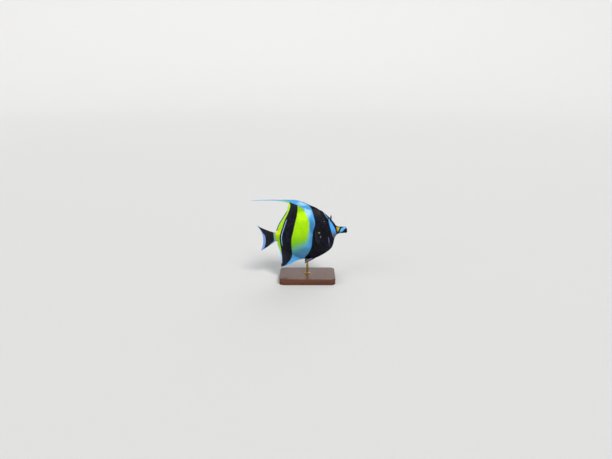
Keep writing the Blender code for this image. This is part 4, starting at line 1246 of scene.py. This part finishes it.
def studio():
    scene = bpy.context.scene
    scene.world = bpy.data.worlds.new("studio")
    scene.world.use_nodes = True
    backdrop = scene.world.node_tree.nodes["Background"]
    backdrop.inputs["Color"].default_value = (0.95, 0.97, 1.0, 1)
    backdrop.inputs["Strength"].default_value = 0.40
    sun("key", (0.55, -1.15, 1.25), 20, 2.15, (1.0, 0.98, 0.95))
    sun("fill", (-1.30, -0.75, 0.75), 40, 0.75, (0.94, 0.97, 1.0))
    sun("back", (0.35, 1.30, 0.95), 40, 0.55, (0.96, 0.98, 1.0))
    scene.view_settings.view_transform = "Standard"


def camera():
    """The photograph's viewpoint: level across, looking a little down on the fish's right side."""
    lens = bpy.data.cameras.new("camera")
    lens.sensor_width = 36
    lens.lens = lens.sensor_width * CAMERA_DISTANCE / (PIXEL * MM * PHOTO_WIDTH)
    across = (PHOTO_CENTRE[0] - PHOTO_TAIL_ROOT[0]) * PIXEL * MM
    up = (PHOTO_TAIL_ROOT[1] - PHOTO_CENTRE[1]) * PIXEL * MM / math.cos(CAMERA_RISE)
    back = Vector((0, -math.cos(CAMERA_RISE), math.sin(CAMERA_RISE)))
    obj = link("camera", lens)
    obj.location = Vector(ORIGIN) + Vector((across, 0, up)) + back * CAMERA_DISTANCE
    obj.rotation_euler = (math.pi / 2 - CAMERA_RISE, 0, 0)
    bpy.context.scene.camera = obj


def dress(piece, material, slot, *nodes):
    """Gives a piece its finish, its body and the solids that it stands for. The slot is not used."""
    piece.data.materials.append(material)
    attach(piece, "root")
    if nodes:
        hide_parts(*nodes)


def grow_scales():
    """The coat: scales on both flanks, in three stretches each, and on the feet of the median fins."""
    material = scale_material()
    draw = np.random.default_rng(7)
    stretches = {"rear": (-3.0, 44.0), "middle": (44.3, 92.0), "head": (92.3, 138.5)}
    for word, side in SIDES.items():
        for part, (start, end) in stretches.items():
            slot = "black_skin" if part == "head" else "body_skin"
            dress(body_scales(f"scales_{part}_{word}", start, end, side, draw), material, slot)
    dress(fin_scales("scales_dorsal_foot", DORSAL, 0.42, draw), material, "median_fins")
    dress(fin_scales("scales_anal_foot", ANAL, 0.50, draw), material, "median_fins")


def main():
    markings_group()
    flesh = ("head", "snout", "torso", "tail_base", "gill_cover_left", "gill_cover_right")
    dress(make_skin(), skin_material(), "body_skin", *flesh)
    grow_scales()
    median = fin_material("median_fins", median_strokes)
    dress(median_fin("dorsal_rays", DORSAL, 42, 7, 64), median, "median_fins", "dorsal_fin")
    dress(median_fin("anal_rays", ANAL, 34, 3, 52), median, "median_fins", "anal_fin")
    dress(caudal_fin("caudal_rays"), fin_material("tail_fin", tail_strokes), "tail_fin", "caudal_fin")
    dress(streamer("streamer"), fin_material("streamer", streamer_strokes), "filament", "dorsal_filament")
    pectoral = fin_material("pectoral_fins", pectoral_strokes)
    pelvic = fin_material("pelvic_fins", pelvic_strokes)
    eyes, horns = eye_material(), horn_material()
    for word, side in SIDES.items():
        dress(pectoral_fin("pectoral_rays_" + word, side), pectoral, "pectoral_fins", "pectoral_fin_" + word)
        dress(pelvic_fin("pelvic_rays_" + word, side), pelvic, "pelvic_fins", "pelvic_fin_" + word)
        dress(eye(word, side), eyes, "eyes", "eye_" + word)
        dress(horn(word, side), horns, "horns", "horn_" + word)
    dress(stand_base("base_block"), wood_material(), "base_wood", "stand_base")
    dress(stand_rod("brass_rod"), brass_material(), "rod_brass", "stand_rod")
    stage_floor()
    studio()
    camera()


main()
